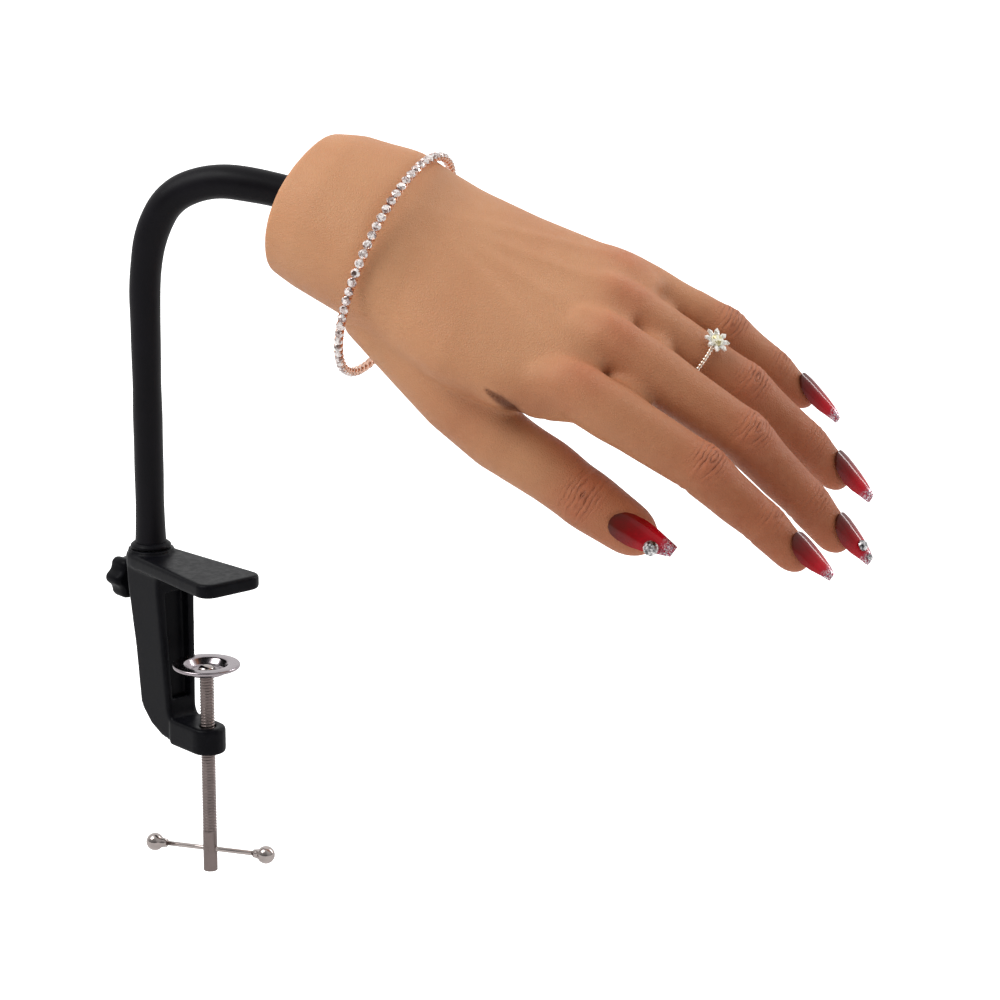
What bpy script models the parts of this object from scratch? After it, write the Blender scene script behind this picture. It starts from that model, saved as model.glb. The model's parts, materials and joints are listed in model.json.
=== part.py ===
"""Nail practice hand: a jointed soft hand on a flexible neck, held to a table edge by a screw clamp.

The origin is the clamping screw's axis where it meets the underside of the top jaw, the face that
rests on the table. +X runs from the clamp's arm to the tip of the jaw, and +Z is up.
"""

import math

import bmesh
import bpy
from mathutils import Matrix, Vector

MM = 0.001

# Fits and cuts
GAP = 0.3 * MM
JOINT_GAP = 0.45 * MM
OVERRUN = 4.0 * MM
EDGE_ROUND = 1.0 * MM

# Clamp body
CLAMP_REACH = 30.4 * MM  # screw axis to neck axis
THROAT_HEIGHT = 48.9 * MM
JAW_THICKNESS = 4.8 * MM
JAW_NOSE = 17.0 * MM  # screw axis to the jaw's tip
JAW_WIDTH = 24.0 * MM
JAW_ROOT_WIDTH = 16.8 * MM
ARM_WIDTH = 15.6 * MM
ARM_FOOT_WIDTH = 11.4 * MM  # the arm narrows down to the lug
ARM_DEPTH = 14.0 * MM  # neck axis to the arm's inner face
ARM_RECESS = 3.5 * MM
ARM_WALL = 2.2 * MM
LUG_THICKNESS = 9.0 * MM
BOSS_RADIUS = 7.7 * MM
BOSS_FOOT_RADIUS = 6.6 * MM
BOSS_RISE = 1.2 * MM  # how far the boss stands above the jaw

# Clamping screw, its pad and its tommy bar
SCREW_RADIUS = 2.45 * MM
SCREW_LENGTH = 68.5 * MM
SCREW_NECK_RADIUS = 1.6 * MM
RIVET_RADIUS = 2.7 * MM
PAD_RADIUS = 11.2 * MM
PAD_THICKNESS = 1.2 * MM
PAD_DISH = 2.2 * MM  # how far the pad's floor lies under its rim
PAD_DROP = 27.3 * MM  # jaw face to the pad's rim at rest
BAR_RADIUS = 0.8 * MM
BAR_SPAN = 40.0 * MM  # between the centres of the balls
BAR_LIFT = 7.5 * MM  # screw's lower end to the bar
BALL_RADIUS = 3.0 * MM
BAR_HEADING = 31.5  # degrees

# Locking knob
KNOB_RADIUS = 7.5 * MM
KNOB_THICKNESS = 8.5 * MM
KNOB_DROP = 6.9 * MM  # jaw face to the knob's axis
KNOB_LOBES = 6
STUD_RADIUS = 2.0 * MM

# Flexible neck
NECK_RADIUS = 4.85 * MM
NECK_END_RADIUS = 5.6 * MM
CORE_RADIUS = 3.0 * MM
NECK_STRAIGHT = 83.2 * MM
NECK_BEND = 84.2 * MM
NECK_HEADING = 37.0  # degrees from +X
SPIGOT_RADIUS = 4.0 * MM
SPIGOT_DEPTH = 15.0 * MM
COLLAR_RADIUS = 6.8 * MM
COLLAR_HEIGHT = 1.8 * MM
SOCKET_RADIUS = 8.5 * MM
SOCKET_DEPTH = 17.0 * MM
NECK_CAP_SHARE = 1.12  # joint cap radius over the sleeve's radius
# each arc of the bend: share of its length, and turn in degrees
BEND_ARC_SHARES = ((0.202, 10.0), (0.166, 20.0), (0.142, 35.0), (0.202, 30.0), (0.288, 10.0))
STRAIGHT_JOINT_SHARES = (0.34, 0.67)

# Hand
PALM_LENGTH = 86.0 * MM  # wrist to the middle knuckle
PALM_WIDTH = 80.0 * MM
PALM_THICKNESS = 30.0 * MM
FINGER_LENGTH = 99.0 * MM  # middle knuckle to fingertip
HAND_HEADING, HAND_PITCH, HAND_ROLL = 29.5, 19.6, 29.2  # degrees
STUB_YAW, STUB_TILT = -3.2, -4.9  # how the wrist's cut end is turned, in degrees
STUB_ROUND = 2.2 * MM
SKIN_GRID = 2.6 * MM
ENTRY_SHARES = (-0.341, 0.035, 0.09)  # where the neck meets the cut end
# place (length, width, thickness) and half width, half thickness
PALM_SECTION_SHARES = (
    (-0.341, 0.025, 0.056, 0.316, 0.74),
    (-0.233, 0.028, 0.085, 0.350, 0.78),
    (0.000, 0.031, 0.067, 0.388, 0.78),
    (0.233, 0.019, -0.035, 0.425, 0.65),
    (0.465, -0.006, -0.050, 0.470, 0.55),
    (0.698, 0.012, -0.080, 0.482, 0.50),
    (0.872, 0.038, -0.080, 0.473, 0.46),
    (1.000, 0.050, -0.100, 0.420, 0.40),
)
THUMB_ROOT_SHARES = (
    (0.093, -0.138, -0.300, 0.212),
    (0.349, -0.238, -0.533, 0.194),
    (0.535, -0.325, -0.700, 0.169),
)
# knuckle place, then spread and bends in degrees, phalanx lengths and joint radii,
# then the nail's width and free length over the usual, and how far it leans aside at its tip
FINGERS = {
    "index": {
        "knuckle_shares": (0.977, -0.300, 0.067),
        "spread": 0.1,
        "bends": (12.0, 13.8, 5.4),
        "length_shares": (0.444, 0.263, 0.202),
        "radius_shares": (0.120, 0.107, 0.091),
        "nail_shares": (1.0, 1.0, 0.0),
    },
    "middle": {
        "knuckle_shares": (1.000, -0.037, 0.167),
        "spread": 1.2,
        "bends": (17.6, 16.3, 4.4),
        "length_shares": (0.485, 0.303, 0.212),
        "radius_shares": (0.120, 0.109, 0.093),
        "nail_shares": (1.0, 1.0, -0.08),
    },
    "ring": {
        "knuckle_shares": (0.930, 0.200, 0.100),
        "spread": 6.1,
        "bends": (20.9, 11.3, 5.7),
        "length_shares": (0.455, 0.283, 0.212),
        "radius_shares": (0.112, 0.103, 0.089),
        "nail_shares": (1.0, 1.1, -0.14),
    },
    "pinky": {
        "knuckle_shares": (0.837, 0.405, -0.033),
        "spread": 7.8,
        "bends": (13.0, 17.6, 5.0),
        "length_shares": (0.364, 0.212, 0.192),
        "radius_shares": (0.097, 0.085, 0.077),
        "nail_shares": (1.0, 1.3, -0.14),
    },
}
THUMB = {
    "knuckle_shares": (0.724, -0.404, -0.800),
    "turn": (-0.7, 15.5, 38.0),  # spread, bend and roll, in degrees
    "tip_bend": -7.0,
    "length_shares": (0.340, 0.272),
    "radius_shares": (0.136, 0.122, 0.119),
    "nail_shares": (0.82, 0.95, 0.22),
}
KNUCKLE_REACH_SHARE = 0.25  # knuckle to the finger's root, over the palm's width
THUMB_REACH_SHARE = 0.158
JOINT_REACH_SHARE = 1.25  # finger joint's cap radius over the finger's radius
WAIST_SHARE = 0.97
FLATNESS_SHARE = 0.94  # a finger's thickness over its width
KNUCKLE_SWING = (-10.0, 62.0)  # degrees of bend that the finger slots leave free
FINGER_SWING = (-8.0, 68.0)
THUMB_SWING = (-22.0, 34.0)

# Inner armature
LINK_THICKNESS = 2.0 * MM
LINK_HEIGHT = 4.0 * MM
EYE_RADIUS = 2.6 * MM
FORK_WIDTH = 5.0 * MM
FORK_LENGTH = 8.0 * MM
PIN_RADIUS = 0.8 * MM
PLATE_THICKNESS = 2.5 * MM

# Nails, gems and jewellery
NAIL_THICKNESS = 0.9 * MM
NAIL_FREE_LENGTH = 6.8 * MM
NAIL_ROOT_SHARE = 0.44  # where the nail starts, over the last phalanx
NAIL_WIDTH_SHARES = (0.48, 0.58, 0.60, 0.52, 0.38, 0.26)
THUMB_GEM_RADIUS = 2.5 * MM
FINGER_GEM_RADIUS = 1.9 * MM
BRACELET_RADIUS_SHARE = 0.466  # over the palm's width
BRACELET_WIRE = 1.7 * MM
BRACELET_PLACE_SHARES = (0.059, 0.028)
BAND_WIRE = 0.6 * MM
BAND_PLACE_SHARE = 0.64  # along the ring finger's first phalanx
FLOWER_RADIUS = 4.6 * MM
FLOWER_HEIGHT = 1.6 * MM
FLOWER_PETALS = 8

CAP_RING_SHARES = (0.3, 0.6, 0.85)  # rings of a ball-shaped end, over its edge ring
SIDES = 16
NECK_SIDES = 12
FULL_TURN = 2 * math.pi

AXES = {}  # each joint's empty and its place in the world
COLORS = {
    "skin": ((0.66, 0.38, 0.24), 0.5, 0.0),
    "black_metal": ((0.012, 0.012, 0.014), 0.45, 0.0),
    "black_rubber": ((0.015, 0.015, 0.015), 0.6, 0.0),
    "black_plastic": ((0.014, 0.014, 0.014), 0.5, 0.0),
    "steel": ((0.72, 0.7, 0.67), 0.25, 1.0),
    "rose_gold": ((0.85, 0.55, 0.42), 0.25, 1.0),
    "gel": ((0.42, 0.01, 0.02), 0.12, 0.0),
    "gem": ((0.9, 0.9, 0.92), 0.05, 0.0),
}


def clear_scene():
    for old in list(bpy.data.objects):
        bpy.data.objects.remove(old, do_unlink=True)
    for name in ("nail_practice_hand", "cutters"):
        collection = bpy.data.collections.new(name)
        bpy.context.scene.collection.children.link(collection)
    bpy.data.collections["cutters"].hide_render = True


def material(name):
    found = bpy.data.materials.get(name)
    if found:
        return found
    color, roughness, metallic = COLORS[name]
    made = bpy.data.materials.new(name)
    made.use_nodes = True
    shader = made.node_tree.nodes["Principled BSDF"]
    shader.inputs["Base Color"].default_value = (*color, 1.0)
    shader.inputs["Roughness"].default_value = roughness
    shader.inputs["Metallic"].default_value = metallic
    return made


def add_object(name, mesh, collection="nail_practice_hand"):
    made = bpy.data.objects.new(name, mesh)
    bpy.data.collections[collection].objects.link(made)
    if collection == "cutters":
        made.hide_render = True
        made.display_type = "WIRE"
    return made


def part(piece, axis, finish):
    """Gives a piece its material and hangs it on its joint's empty, keeping its place."""
    empty, place = AXES[axis]
    piece.data.transform(place.inverted())
    piece.parent = empty
    piece.data.materials.append(material(finish))
    piece.data.shade_smooth()
    piece.data.set_sharp_from_angle(angle=math.radians(35))
    return piece


def add_axis(name, place, parent=None):
    empty = add_object(name, None)
    empty.empty_display_size = GAP
    empty.matrix_basis = place
    if parent:
        empty.parent = AXES[parent][0]
        empty.matrix_basis = AXES[parent][1].inverted() @ place
    AXES[name] = (empty, place)


def combine(piece, other, operation="DIFFERENCE"):
    change = piece.modifiers.new(operation.lower(), "BOOLEAN")
    change.operation = operation
    change.solver = "EXACT"
    change.object = other
    return piece


def to_mesh(made, name, collection):
    """Turns a curve, or an object with modifiers, into a plain welded mesh object."""
    bpy.context.view_layer.update()
    graph = bpy.context.evaluated_depsgraph_get()
    mesh = bpy.data.meshes.new_from_object(made.evaluated_get(graph))
    mesh.transform(made.matrix_world)
    bpy.data.objects.remove(made, do_unlink=True)
    bm = bmesh.new()
    bm.from_mesh(mesh)
    bmesh.ops.remove_doubles(bm, verts=bm.verts, dist=GAP / 100)
    bmesh.ops.dissolve_limit(bm, angle_limit=math.radians(0.1), verts=bm.verts, edges=bm.edges)
    bm.to_mesh(mesh)
    bm.free()
    return add_object(name, mesh, collection)


def loft(name, rings, wrap=False, collection="nail_practice_hand"):
    """Skins a row of rings. A ring of one point is a pole, and wrap joins the last ring to the first."""
    bm = bmesh.new()
    rows = [[bm.verts.new(point) for point in ring] for ring in rings]
    pairs = list(zip(rows, rows[1:]))
    if wrap:
        pairs.append((rows[-1], rows[0]))
    for near, far in pairs:
        count = max(len(near), len(far))
        for i in range(count):
            j = (i + 1) % count
            corners = (near[i % len(near)], near[j % len(near)], far[j % len(far)], far[i % len(far)])
            bm.faces.new(list(dict.fromkeys(corners)))
    if not wrap:
        for row in (rows[0], rows[-1]):
            if len(row) > 1:
                bm.faces.new(row)
    bmesh.ops.recalc_face_normals(bm, faces=bm.faces)
    mesh = bpy.data.meshes.new(name)
    bm.to_mesh(mesh)
    bm.free()
    return add_object(name, mesh, collection)


def box(name, low, high, place, collection="cutters"):
    low, high = Vector(low), Vector(high)
    bm = bmesh.new()
    size = Matrix.Diagonal((*(high - low), 1))
    bmesh.ops.create_cube(bm, size=1, matrix=place @ Matrix.Translation((low + high) / 2) @ size)
    mesh = bpy.data.meshes.new(name)
    bm.to_mesh(mesh)
    bm.free()
    return add_object(name, mesh, collection)


def rod(name, radius, start, end, place, sides=16, collection="cutters", end_radius=None):
    """A cylinder or cone along the local X axis from start to end."""
    bm = bmesh.new()
    along = Matrix.Rotation(math.pi / 2, 4, "Y")
    middle = Matrix.Translation(((start + end) / 2, 0, 0))
    bmesh.ops.create_cone(
        bm,
        cap_ends=True,
        segments=sides,
        radius1=radius,
        radius2=radius if end_radius is None else end_radius,
        depth=end - start,
        matrix=place @ middle @ along,
    )
    mesh = bpy.data.meshes.new(name)
    bm.to_mesh(mesh)
    bm.free()
    return add_object(name, mesh, collection)


def ball(name, radius, place, collection="cutters", sides=20):
    bm = bmesh.new()
    bmesh.ops.create_uvsphere(bm, u_segments=sides, v_segments=sides // 2, radius=radius, matrix=place)
    mesh = bpy.data.meshes.new(name)
    bm.to_mesh(mesh)
    bm.free()
    return add_object(name, mesh, collection)


def plate(name, outlines, thickness, place, collection="nail_practice_hand", bevel=0):
    """A flat outline in the local XY plane, with any holes, extruded half its thickness each way."""
    curve = bpy.data.curves.new(name, "CURVE")
    curve.dimensions = "2D"
    curve.fill_mode = "BOTH"
    curve.extrude = thickness / 2
    for points in outlines:
        spline = curve.splines.new("POLY")
        spline.points.add(len(points) - 1)
        for target, (x, y) in zip(spline.points, points):
            target.co = (x, y, 0, 1)
        spline.use_cyclic_u = True
    made = add_object(name + "_outline", curve, collection)
    made.matrix_world = place
    made = to_mesh(made, name, collection)
    if bevel:
        rounding = made.modifiers.new("rounding", "BEVEL")
        rounding.width = bevel
        rounding.segments = 2
        rounding.limit_method = "ANGLE"
        rounding.angle_limit = math.radians(50)
    return made


def turned(name, profile, place, sides, collection="nail_practice_hand"):
    """Spins a profile of (radius, height) pairs, listed down its outer side, round the local Z axis."""
    mesh = bpy.data.meshes.new(name)
    bm = bmesh.new()
    line = [bm.verts.new((radius, 0, height)) for radius, height in profile]
    for first, second in zip(line, line[1:]):
        bm.edges.new((first, second))
    bm.to_mesh(mesh)
    bm.free()
    made = add_object(name, mesh, collection)
    made.matrix_world = place
    spin = made.modifiers.new("spin", "SCREW")
    spin.steps = sides
    spin.render_steps = sides
    spin.use_merge_vertices = True
    spin.merge_threshold = GAP / 100
    return to_mesh(made, name, collection)


def arc(center_x, center_y, radius, start, end, steps):
    """Points of an arc, with its angles in degrees."""
    points = []
    for i in range(steps + 1):
        angle = math.radians(start + (end - start) * i / steps)
        points.append((center_x + radius * math.cos(angle), center_y + radius * math.sin(angle)))
    return points


def turn(axis, degrees):
    return Matrix.Rotation(math.radians(degrees), 4, axis)


def shift(x=0, y=0, z=0):
    return Matrix.Translation((x, y, z))


def oval(place, half_width, half_height, sides=SIDES, squareness=1.0):
    points = []
    for i in range(sides):
        angle = FULL_TURN * i / sides
        across, up = math.cos(angle), math.sin(angle)
        across = math.copysign(abs(across) ** squareness, across)
        up = math.copysign(abs(up) ** squareness, up)
        points.append(place @ Vector((0, half_width * across, half_height * up)))
    return points


def cap_ring(place, reach, half_width, half_height, sides=SIDES):
    """A ring that lies on the ball of radius reach about a joint."""
    points = []
    for i in range(sides):
        angle = FULL_TURN * i / sides
        across, up = half_width * math.cos(angle), half_height * math.sin(angle)
        ahead = math.sqrt(reach**2 - across**2 - up**2)
        points.append(place @ Vector((ahead, across, up)))
    return points


def ball_end(place, reach, half_width, half_height):
    """Rings of a ball-shaped end, from its pole to its edge."""
    rings = [[place @ Vector((reach, 0, 0))]]
    for share in (*CAP_RING_SHARES, 1):
        rings.append(cap_ring(place, reach, half_width * share, half_height * share))
    return rings


# Clamp


def narrow_down(piece):
    """Narrows a piece of the arm evenly from the jaw's face down to the lug."""
    foot_share = ARM_FOOT_WIDTH / ARM_WIDTH
    for vertex in piece.data.vertices:
        vertex.co.y *= 1 + (foot_share - 1) * -vertex.co.z / THROAT_HEIGHT


def build_clamp():
    """A cast C: the arm and the lug share one side outline, the jaw flares to its tip."""
    neck_x = -CLAMP_REACH
    face_x = neck_x + ARM_DEPTH
    foot_z = -THROAT_HEIGHT - LUG_THICKNESS
    inset = EDGE_ROUND * 0.6
    fillet = ARM_WIDTH / 4
    inner_foot = face_x + ARM_DEPTH * 0.15
    side = [
        (neck_x - BOSS_RADIUS * 0.5, JAW_THICKNESS * 0.6),
        (neck_x - ARM_DEPTH * 0.28, -JAW_THICKNESS),
        (neck_x - ARM_DEPTH * 0.09, -THROAT_HEIGHT * 0.57),
        (neck_x - ARM_DEPTH * 0.02, -THROAT_HEIGHT * 0.95),
        (neck_x + ARM_DEPTH * 0.06, -THROAT_HEIGHT),
        (neck_x + ARM_DEPTH * 0.36, -THROAT_HEIGHT - LUG_THICKNESS * 0.5),
        (neck_x + ARM_DEPTH * 0.78, foot_z + LUG_THICKNESS * 0.18),
        (neck_x + ARM_DEPTH * 1.2, foot_z + inset),
        (-ARM_WIDTH / 4, foot_z + inset),
        (-ARM_WIDTH / 4, -THROAT_HEIGHT - inset),
    ]
    side += arc(inner_foot + fillet, -THROAT_HEIGHT + fillet - inset, fillet, 270, 180, 4)
    side += arc(face_x + fillet, -fillet + inset, fillet, 180, 90, 4)
    side += [(face_x + ARM_DEPTH * 0.8, inset), (face_x + ARM_DEPTH * 0.8, JAW_THICKNESS * 0.6)]
    upright = Matrix.Rotation(math.pi / 2, 4, "X")
    body = plate("clamp_body", [side], ARM_WIDTH, upright, bevel=EDGE_ROUND)
    narrow_down(body)

    half, root = JAW_WIDTH / 2, JAW_ROOT_WIDTH / 2
    corner = JAW_WIDTH / 5
    near = arc(neck_x, 0, root, 195, 270, 5)
    near += arc(JAW_NOSE - corner, -half + corner, corner, -90, 0, 5)
    far = [(x, -y) for x, y in reversed(near)]
    jaw = plate("jaw", [near + far], JAW_THICKNESS, shift(z=JAW_THICKNESS / 2), "cutters", EDGE_ROUND)
    combine(body, jaw, "UNION")

    lug_radius = ARM_FOOT_WIDTH / 2 + EDGE_ROUND * 0.3
    lug_outline = arc(0, 0, lug_radius, -90, 90, 10)
    lug_outline += [(inner_foot, lug_radius), (inner_foot, -lug_radius)]
    lug_z = -THROAT_HEIGHT - LUG_THICKNESS / 2
    lug = plate("lug", [lug_outline], LUG_THICKNESS, shift(z=lug_z), "cutters", EDGE_ROUND)
    combine(body, lug, "UNION")

    boss_low = -SPIGOT_DEPTH - EDGE_ROUND * 2
    boss_top = JAW_THICKNESS + BOSS_RISE
    upward = shift(neck_x) @ turn("Y", -90)
    boss = rod("boss", BOSS_FOOT_RADIUS, boss_low, boss_top, upward, 24, end_radius=BOSS_RADIUS)
    combine(body, boss, "UNION")

    bore = rod("spigot_bore", SPIGOT_RADIUS + GAP, -SPIGOT_DEPTH - GAP, boss_top + OVERRUN, upward, 20)
    combine(body, bore)
    stud = rod(
        "stud_bore",
        STUD_RADIUS + GAP,
        neck_x - BOSS_RADIUS - OVERRUN,
        neck_x,
        shift(z=-KNOB_DROP),
        12,
    )
    combine(body, stud)
    screw = rod("screw_bore", SCREW_RADIUS + GAP, foot_z - OVERRUN, -THROAT_HEIGHT + OVERRUN, turn("Y", -90), 20)
    combine(body, screw)
    recess_half = ARM_WIDTH / 2 - ARM_WALL * ARM_WIDTH / ARM_FOOT_WIDTH
    recess = plate(
        "recess",
        [
            [
                (face_x - ARM_RECESS, -fillet * 1.6),
                (inner_foot - ARM_RECESS, -THROAT_HEIGHT + fillet * 1.6),
                (inner_foot + OVERRUN, -THROAT_HEIGHT + fillet * 1.6),
                (face_x + OVERRUN, -fillet * 1.6),
            ]
        ],
        recess_half * 2,
        upright,
        "cutters",
    )
    narrow_down(recess)
    combine(body, recess)
    part(body, "clamp", "black_metal")


def build_screw():
    """The screw's shoulder carries the dished pad, and its riveted end keeps the pad on."""
    floor_top = -PAD_DROP - PAD_DISH
    shoulder = floor_top - PAD_THICKNESS - GAP
    low = shoulder - SCREW_LENGTH
    bar_z = low + BAR_LIFT
    add_axis("pad_travel", shift(z=-PAD_DROP), "clamp")
    add_axis("screw_turn", shift(z=shoulder), "pad_travel")
    add_axis("bar_slide", shift(z=bar_z) @ turn("Z", BAR_HEADING), "screw_turn")

    hole = SCREW_NECK_RADIUS + GAP
    dish = PAD_RADIUS * 0.5
    pad = turned(
        "pressure_pad",
        [
            (hole, floor_top),
            (dish, floor_top),
            (dish + PAD_DISH * 0.8, -PAD_DROP),
            (PAD_RADIUS, -PAD_DROP),
            (PAD_RADIUS, -PAD_DROP - PAD_THICKNESS),
            (dish + PAD_DISH * 0.8 + PAD_THICKNESS * 0.5, -PAD_DROP - PAD_THICKNESS),
            (dish + PAD_THICKNESS * 0.5, floor_top - PAD_THICKNESS),
            (hole, floor_top - PAD_THICKNESS),
            (hole, floor_top),
        ],
        Matrix(),
        24,
    )
    part(pad, "pad_travel", "steel")

    rivet_low = floor_top + GAP
    chamfer = SCREW_RADIUS * 0.2
    screw = turned(
        "clamp_screw",
        [
            (0, rivet_low + RIVET_RADIUS * 0.5),
            (RIVET_RADIUS * 0.6, rivet_low + RIVET_RADIUS * 0.42),
            (RIVET_RADIUS, rivet_low + RIVET_RADIUS * 0.1),
            (RIVET_RADIUS, rivet_low),
            (SCREW_NECK_RADIUS, rivet_low),
            (SCREW_NECK_RADIUS, shoulder),
            (SCREW_RADIUS, shoulder),
            (SCREW_RADIUS, low + chamfer),
            (SCREW_RADIUS - chamfer, low),
            (0, low),
        ],
        Matrix(),
        16,
    )
    across = AXES["bar_slide"][1]
    hole_half = SCREW_RADIUS + OVERRUN
    combine(screw, rod("bar_hole", BAR_RADIUS + GAP, -hole_half, hole_half, across, 12))
    part(screw, "screw_turn", "steel")

    half = BAR_SPAN / 2
    bar = rod("tommy_bar", BAR_RADIUS, -half, half, across, 10, "nail_practice_hand")
    part(bar, "bar_slide", "steel")
    for name, side in (("bar_ball_left", -1), ("bar_ball_right", 1)):
        seat = across @ shift(side * half) @ turn("Y", 90 * side)
        neck = BALL_RADIUS * 1.45
        knob = turned(
            name,
            [(0, BALL_RADIUS)]
            + [
                (BALL_RADIUS * math.sin(math.radians(a)), BALL_RADIUS * math.cos(math.radians(a)))
                for a in (30, 60, 90, 120, 145)
            ]
            + [(BAR_RADIUS + GAP * 2, -neck), (0, -neck)],
            seat,
            12,
        )
        combine(knob, rod(name + "_bore", BAR_RADIUS + GAP, -neck - OVERRUN, GAP, seat @ turn("Y", -90), 10))
        part(knob, "bar_slide", "steel")


def build_knob():
    """The lobed knob's stud runs through the boss to the neck's spigot."""
    tip = -CLAMP_REACH - SPIGOT_RADIUS - GAP
    head_near = -CLAMP_REACH - BOSS_RADIUS - GAP * 5
    head_far = head_near - KNOB_THICKNESS
    place = shift(z=-KNOB_DROP)
    add_axis("knob_turn", place @ shift(head_near), "clamp")
    outline = []
    steps = KNOB_LOBES * 6
    for i in range(steps):
        angle = FULL_TURN * i / steps
        radius = KNOB_RADIUS * (0.91 + 0.09 * math.cos(KNOB_LOBES * angle))
        outline.append((radius * math.cos(angle), radius * math.sin(angle)))
    facing = place @ shift((head_near + head_far) / 2) @ turn("Y", 90)
    head = plate("knob_head", [outline], KNOB_THICKNESS, facing, bevel=EDGE_ROUND)
    blind = head_near - KNOB_THICKNESS * 0.6
    combine(head, rod("knob_bore", STUD_RADIUS + GAP, blind - GAP, head_near + OVERRUN, place, 12))
    part(head, "knob_turn", "black_plastic")
    stud = rod("knob_stud", STUD_RADIUS, blind, tip, place, 12, "nail_practice_hand")
    part(stud, "knob_turn", "steel")


# Flexible neck


def neck_base():
    return JAW_THICKNESS + BOSS_RISE + GAP


def neck_frame(length):
    """Place at a length along the neck: X along it, Y square to the plane it bends in."""
    heading = math.radians(NECK_HEADING)
    ahead = Vector((math.cos(heading), math.sin(heading), 0))
    aside = Vector((-math.sin(heading), math.cos(heading), 0))
    out, up, lean = 0.0, neck_base() + min(length, NECK_STRAIGHT), 0.0
    left = max(length - NECK_STRAIGHT, 0)
    for share, degrees in BEND_ARC_SHARES:
        run = min(left, share * NECK_BEND)
        rate = math.radians(degrees) / (share * NECK_BEND)
        end = lean + rate * run
        out += (math.cos(lean) - math.cos(end)) / rate
        up += (math.sin(end) - math.sin(lean)) / rate
        left, lean = left - run, end
    out += left * math.sin(lean)
    up += left * math.cos(lean)
    along = ahead * math.sin(lean) + Vector((0, 0, math.cos(lean)))
    inward = along.cross(aside)
    spot = ahead * out + Vector((-CLAMP_REACH, 0, up))
    columns = [list(vector) + [0] for vector in (along, aside, inward)]
    return Matrix([*columns, list(spot) + [1]]).transposed()


def neck_radius(length):
    """The sleeve is slim up the straight and thickens towards the hand."""
    grown = min(max((length - NECK_STRAIGHT * 0.8) / NECK_BEND, 0), 1)
    return NECK_RADIUS + (NECK_END_RADIUS - NECK_RADIUS) * min(grown * 1.6, 1)


def neck_joints():
    """Lengths along the neck at which it bends, from its foot to where it enters the wrist."""
    lengths = [share * NECK_STRAIGHT for share in STRAIGHT_JOINT_SHARES] + [NECK_STRAIGHT]
    for share, _ in BEND_ARC_SHARES[:-1]:
        lengths.append(lengths[-1] + share * NECK_BEND)
    return lengths


def neck_rings(lengths, radius_at, base, end):
    """Rings of one neck segment. An end is a joint's length, or a flat place."""
    rings = []
    for kind, where in (("base", base), ("body", None), ("end", end)):
        if kind == "body":
            for length in lengths:
                radius = radius_at(length)
                rings.append(oval(neck_frame(length), radius, radius, NECK_SIDES))
            continue
        flat, length = where
        radius = radius_at(length)
        if flat:
            rings.append(oval(neck_frame(length), radius, radius, NECK_SIDES))
        else:
            reach = neck_radius(length) * NECK_CAP_SHARE + (JOINT_GAP if kind == "base" else 0)
            rings.append(cap_ring(neck_frame(length), reach, radius, radius, NECK_SIDES))
    return rings


def build_neck():
    joints = neck_joints()
    total = NECK_STRAIGHT + NECK_BEND
    tail = total + SOCKET_DEPTH - GAP
    starts = [(True, 0)] + [(False, length) for length in joints]
    ends = [(False, length) for length in joints] + [(True, tail)]
    add_axis("neck_swivel", shift(-CLAMP_REACH, 0, neck_base()), "clamp")
    parent = "neck_swivel"
    core = lambda length: CORE_RADIUS
    bore = lambda length: CORE_RADIUS + GAP
    for number, (start, end) in enumerate(zip(starts, ends), 1):
        if number > 1:
            axis = f"neck_bend_{number - 1}"
            add_axis(axis, neck_frame(start[1]), parent)
            parent = axis
        curved = end[1] > NECK_STRAIGHT + GAP
        clear = neck_radius(end[1]) * 1.2 if number > 1 else GAP
        first, last = start[1] + clear, end[1]
        steps = 4 if curved else 1
        middle = [first + (last - first) * i / steps for i in range(1, steps + 1)]
        if not curved:
            middle = [last]
        if number == len(starts):
            middle = [first + (total - first) * i / 3 for i in range(1, 4)]
        outer = neck_rings(middle, neck_radius, start, end)
        inner = neck_rings(middle, bore, start, end)
        sleeve = loft(f"neck_sleeve_{number}", outer + inner[::-1], wrap=True)
        part(sleeve, parent, "black_rubber")
        rings = neck_rings(middle, core, start, end)
        for where, kind in ((start, 0), (end, -1)):
            if not where[0]:
                reach = neck_radius(where[1]) * NECK_CAP_SHARE + (JOINT_GAP if kind == 0 else 0)
                pole = [neck_frame(where[1]) @ Vector((reach, 0, 0))]
                rings = [pole] + rings if kind == 0 else rings + [pole]
        part(loft(f"neck_core_{number}", rings), parent, "steel")

    upward = shift(-CLAMP_REACH) @ turn("Y", -90)
    spigot_top = neck_base() - GAP
    spigot = rod("neck_spigot", SPIGOT_RADIUS, -SPIGOT_DEPTH, spigot_top, upward, 20, "nail_practice_hand")
    part(spigot, "neck_swivel", "steel")
    inside, low = NECK_RADIUS + GAP, neck_base()
    collar = turned(
        "neck_collar",
        [
            (inside, low + COLLAR_HEIGHT),
            (inside + COLLAR_HEIGHT * 0.3, low + COLLAR_HEIGHT),
            (COLLAR_RADIUS, low + COLLAR_HEIGHT * 0.45),
            (COLLAR_RADIUS, low),
            (inside, low),
            (inside, low + COLLAR_HEIGHT),
        ],
        shift(-CLAMP_REACH),
        24,
    )
    part(collar, "neck_swivel", "black_metal")


# Hand


def hand_frame():
    facing = turn("Z", HAND_HEADING) @ turn("Y", HAND_PITCH) @ turn("X", HAND_ROLL)
    entry = neck_frame(NECK_STRAIGHT + NECK_BEND).to_translation()
    return Matrix.Translation(entry - facing @ in_palm(ENTRY_SHARES)) @ facing


def in_palm(shares):
    x, y, z = shares[:3]
    return Vector((x * PALM_LENGTH, y * PALM_WIDTH, z * PALM_THICKNESS))


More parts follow.
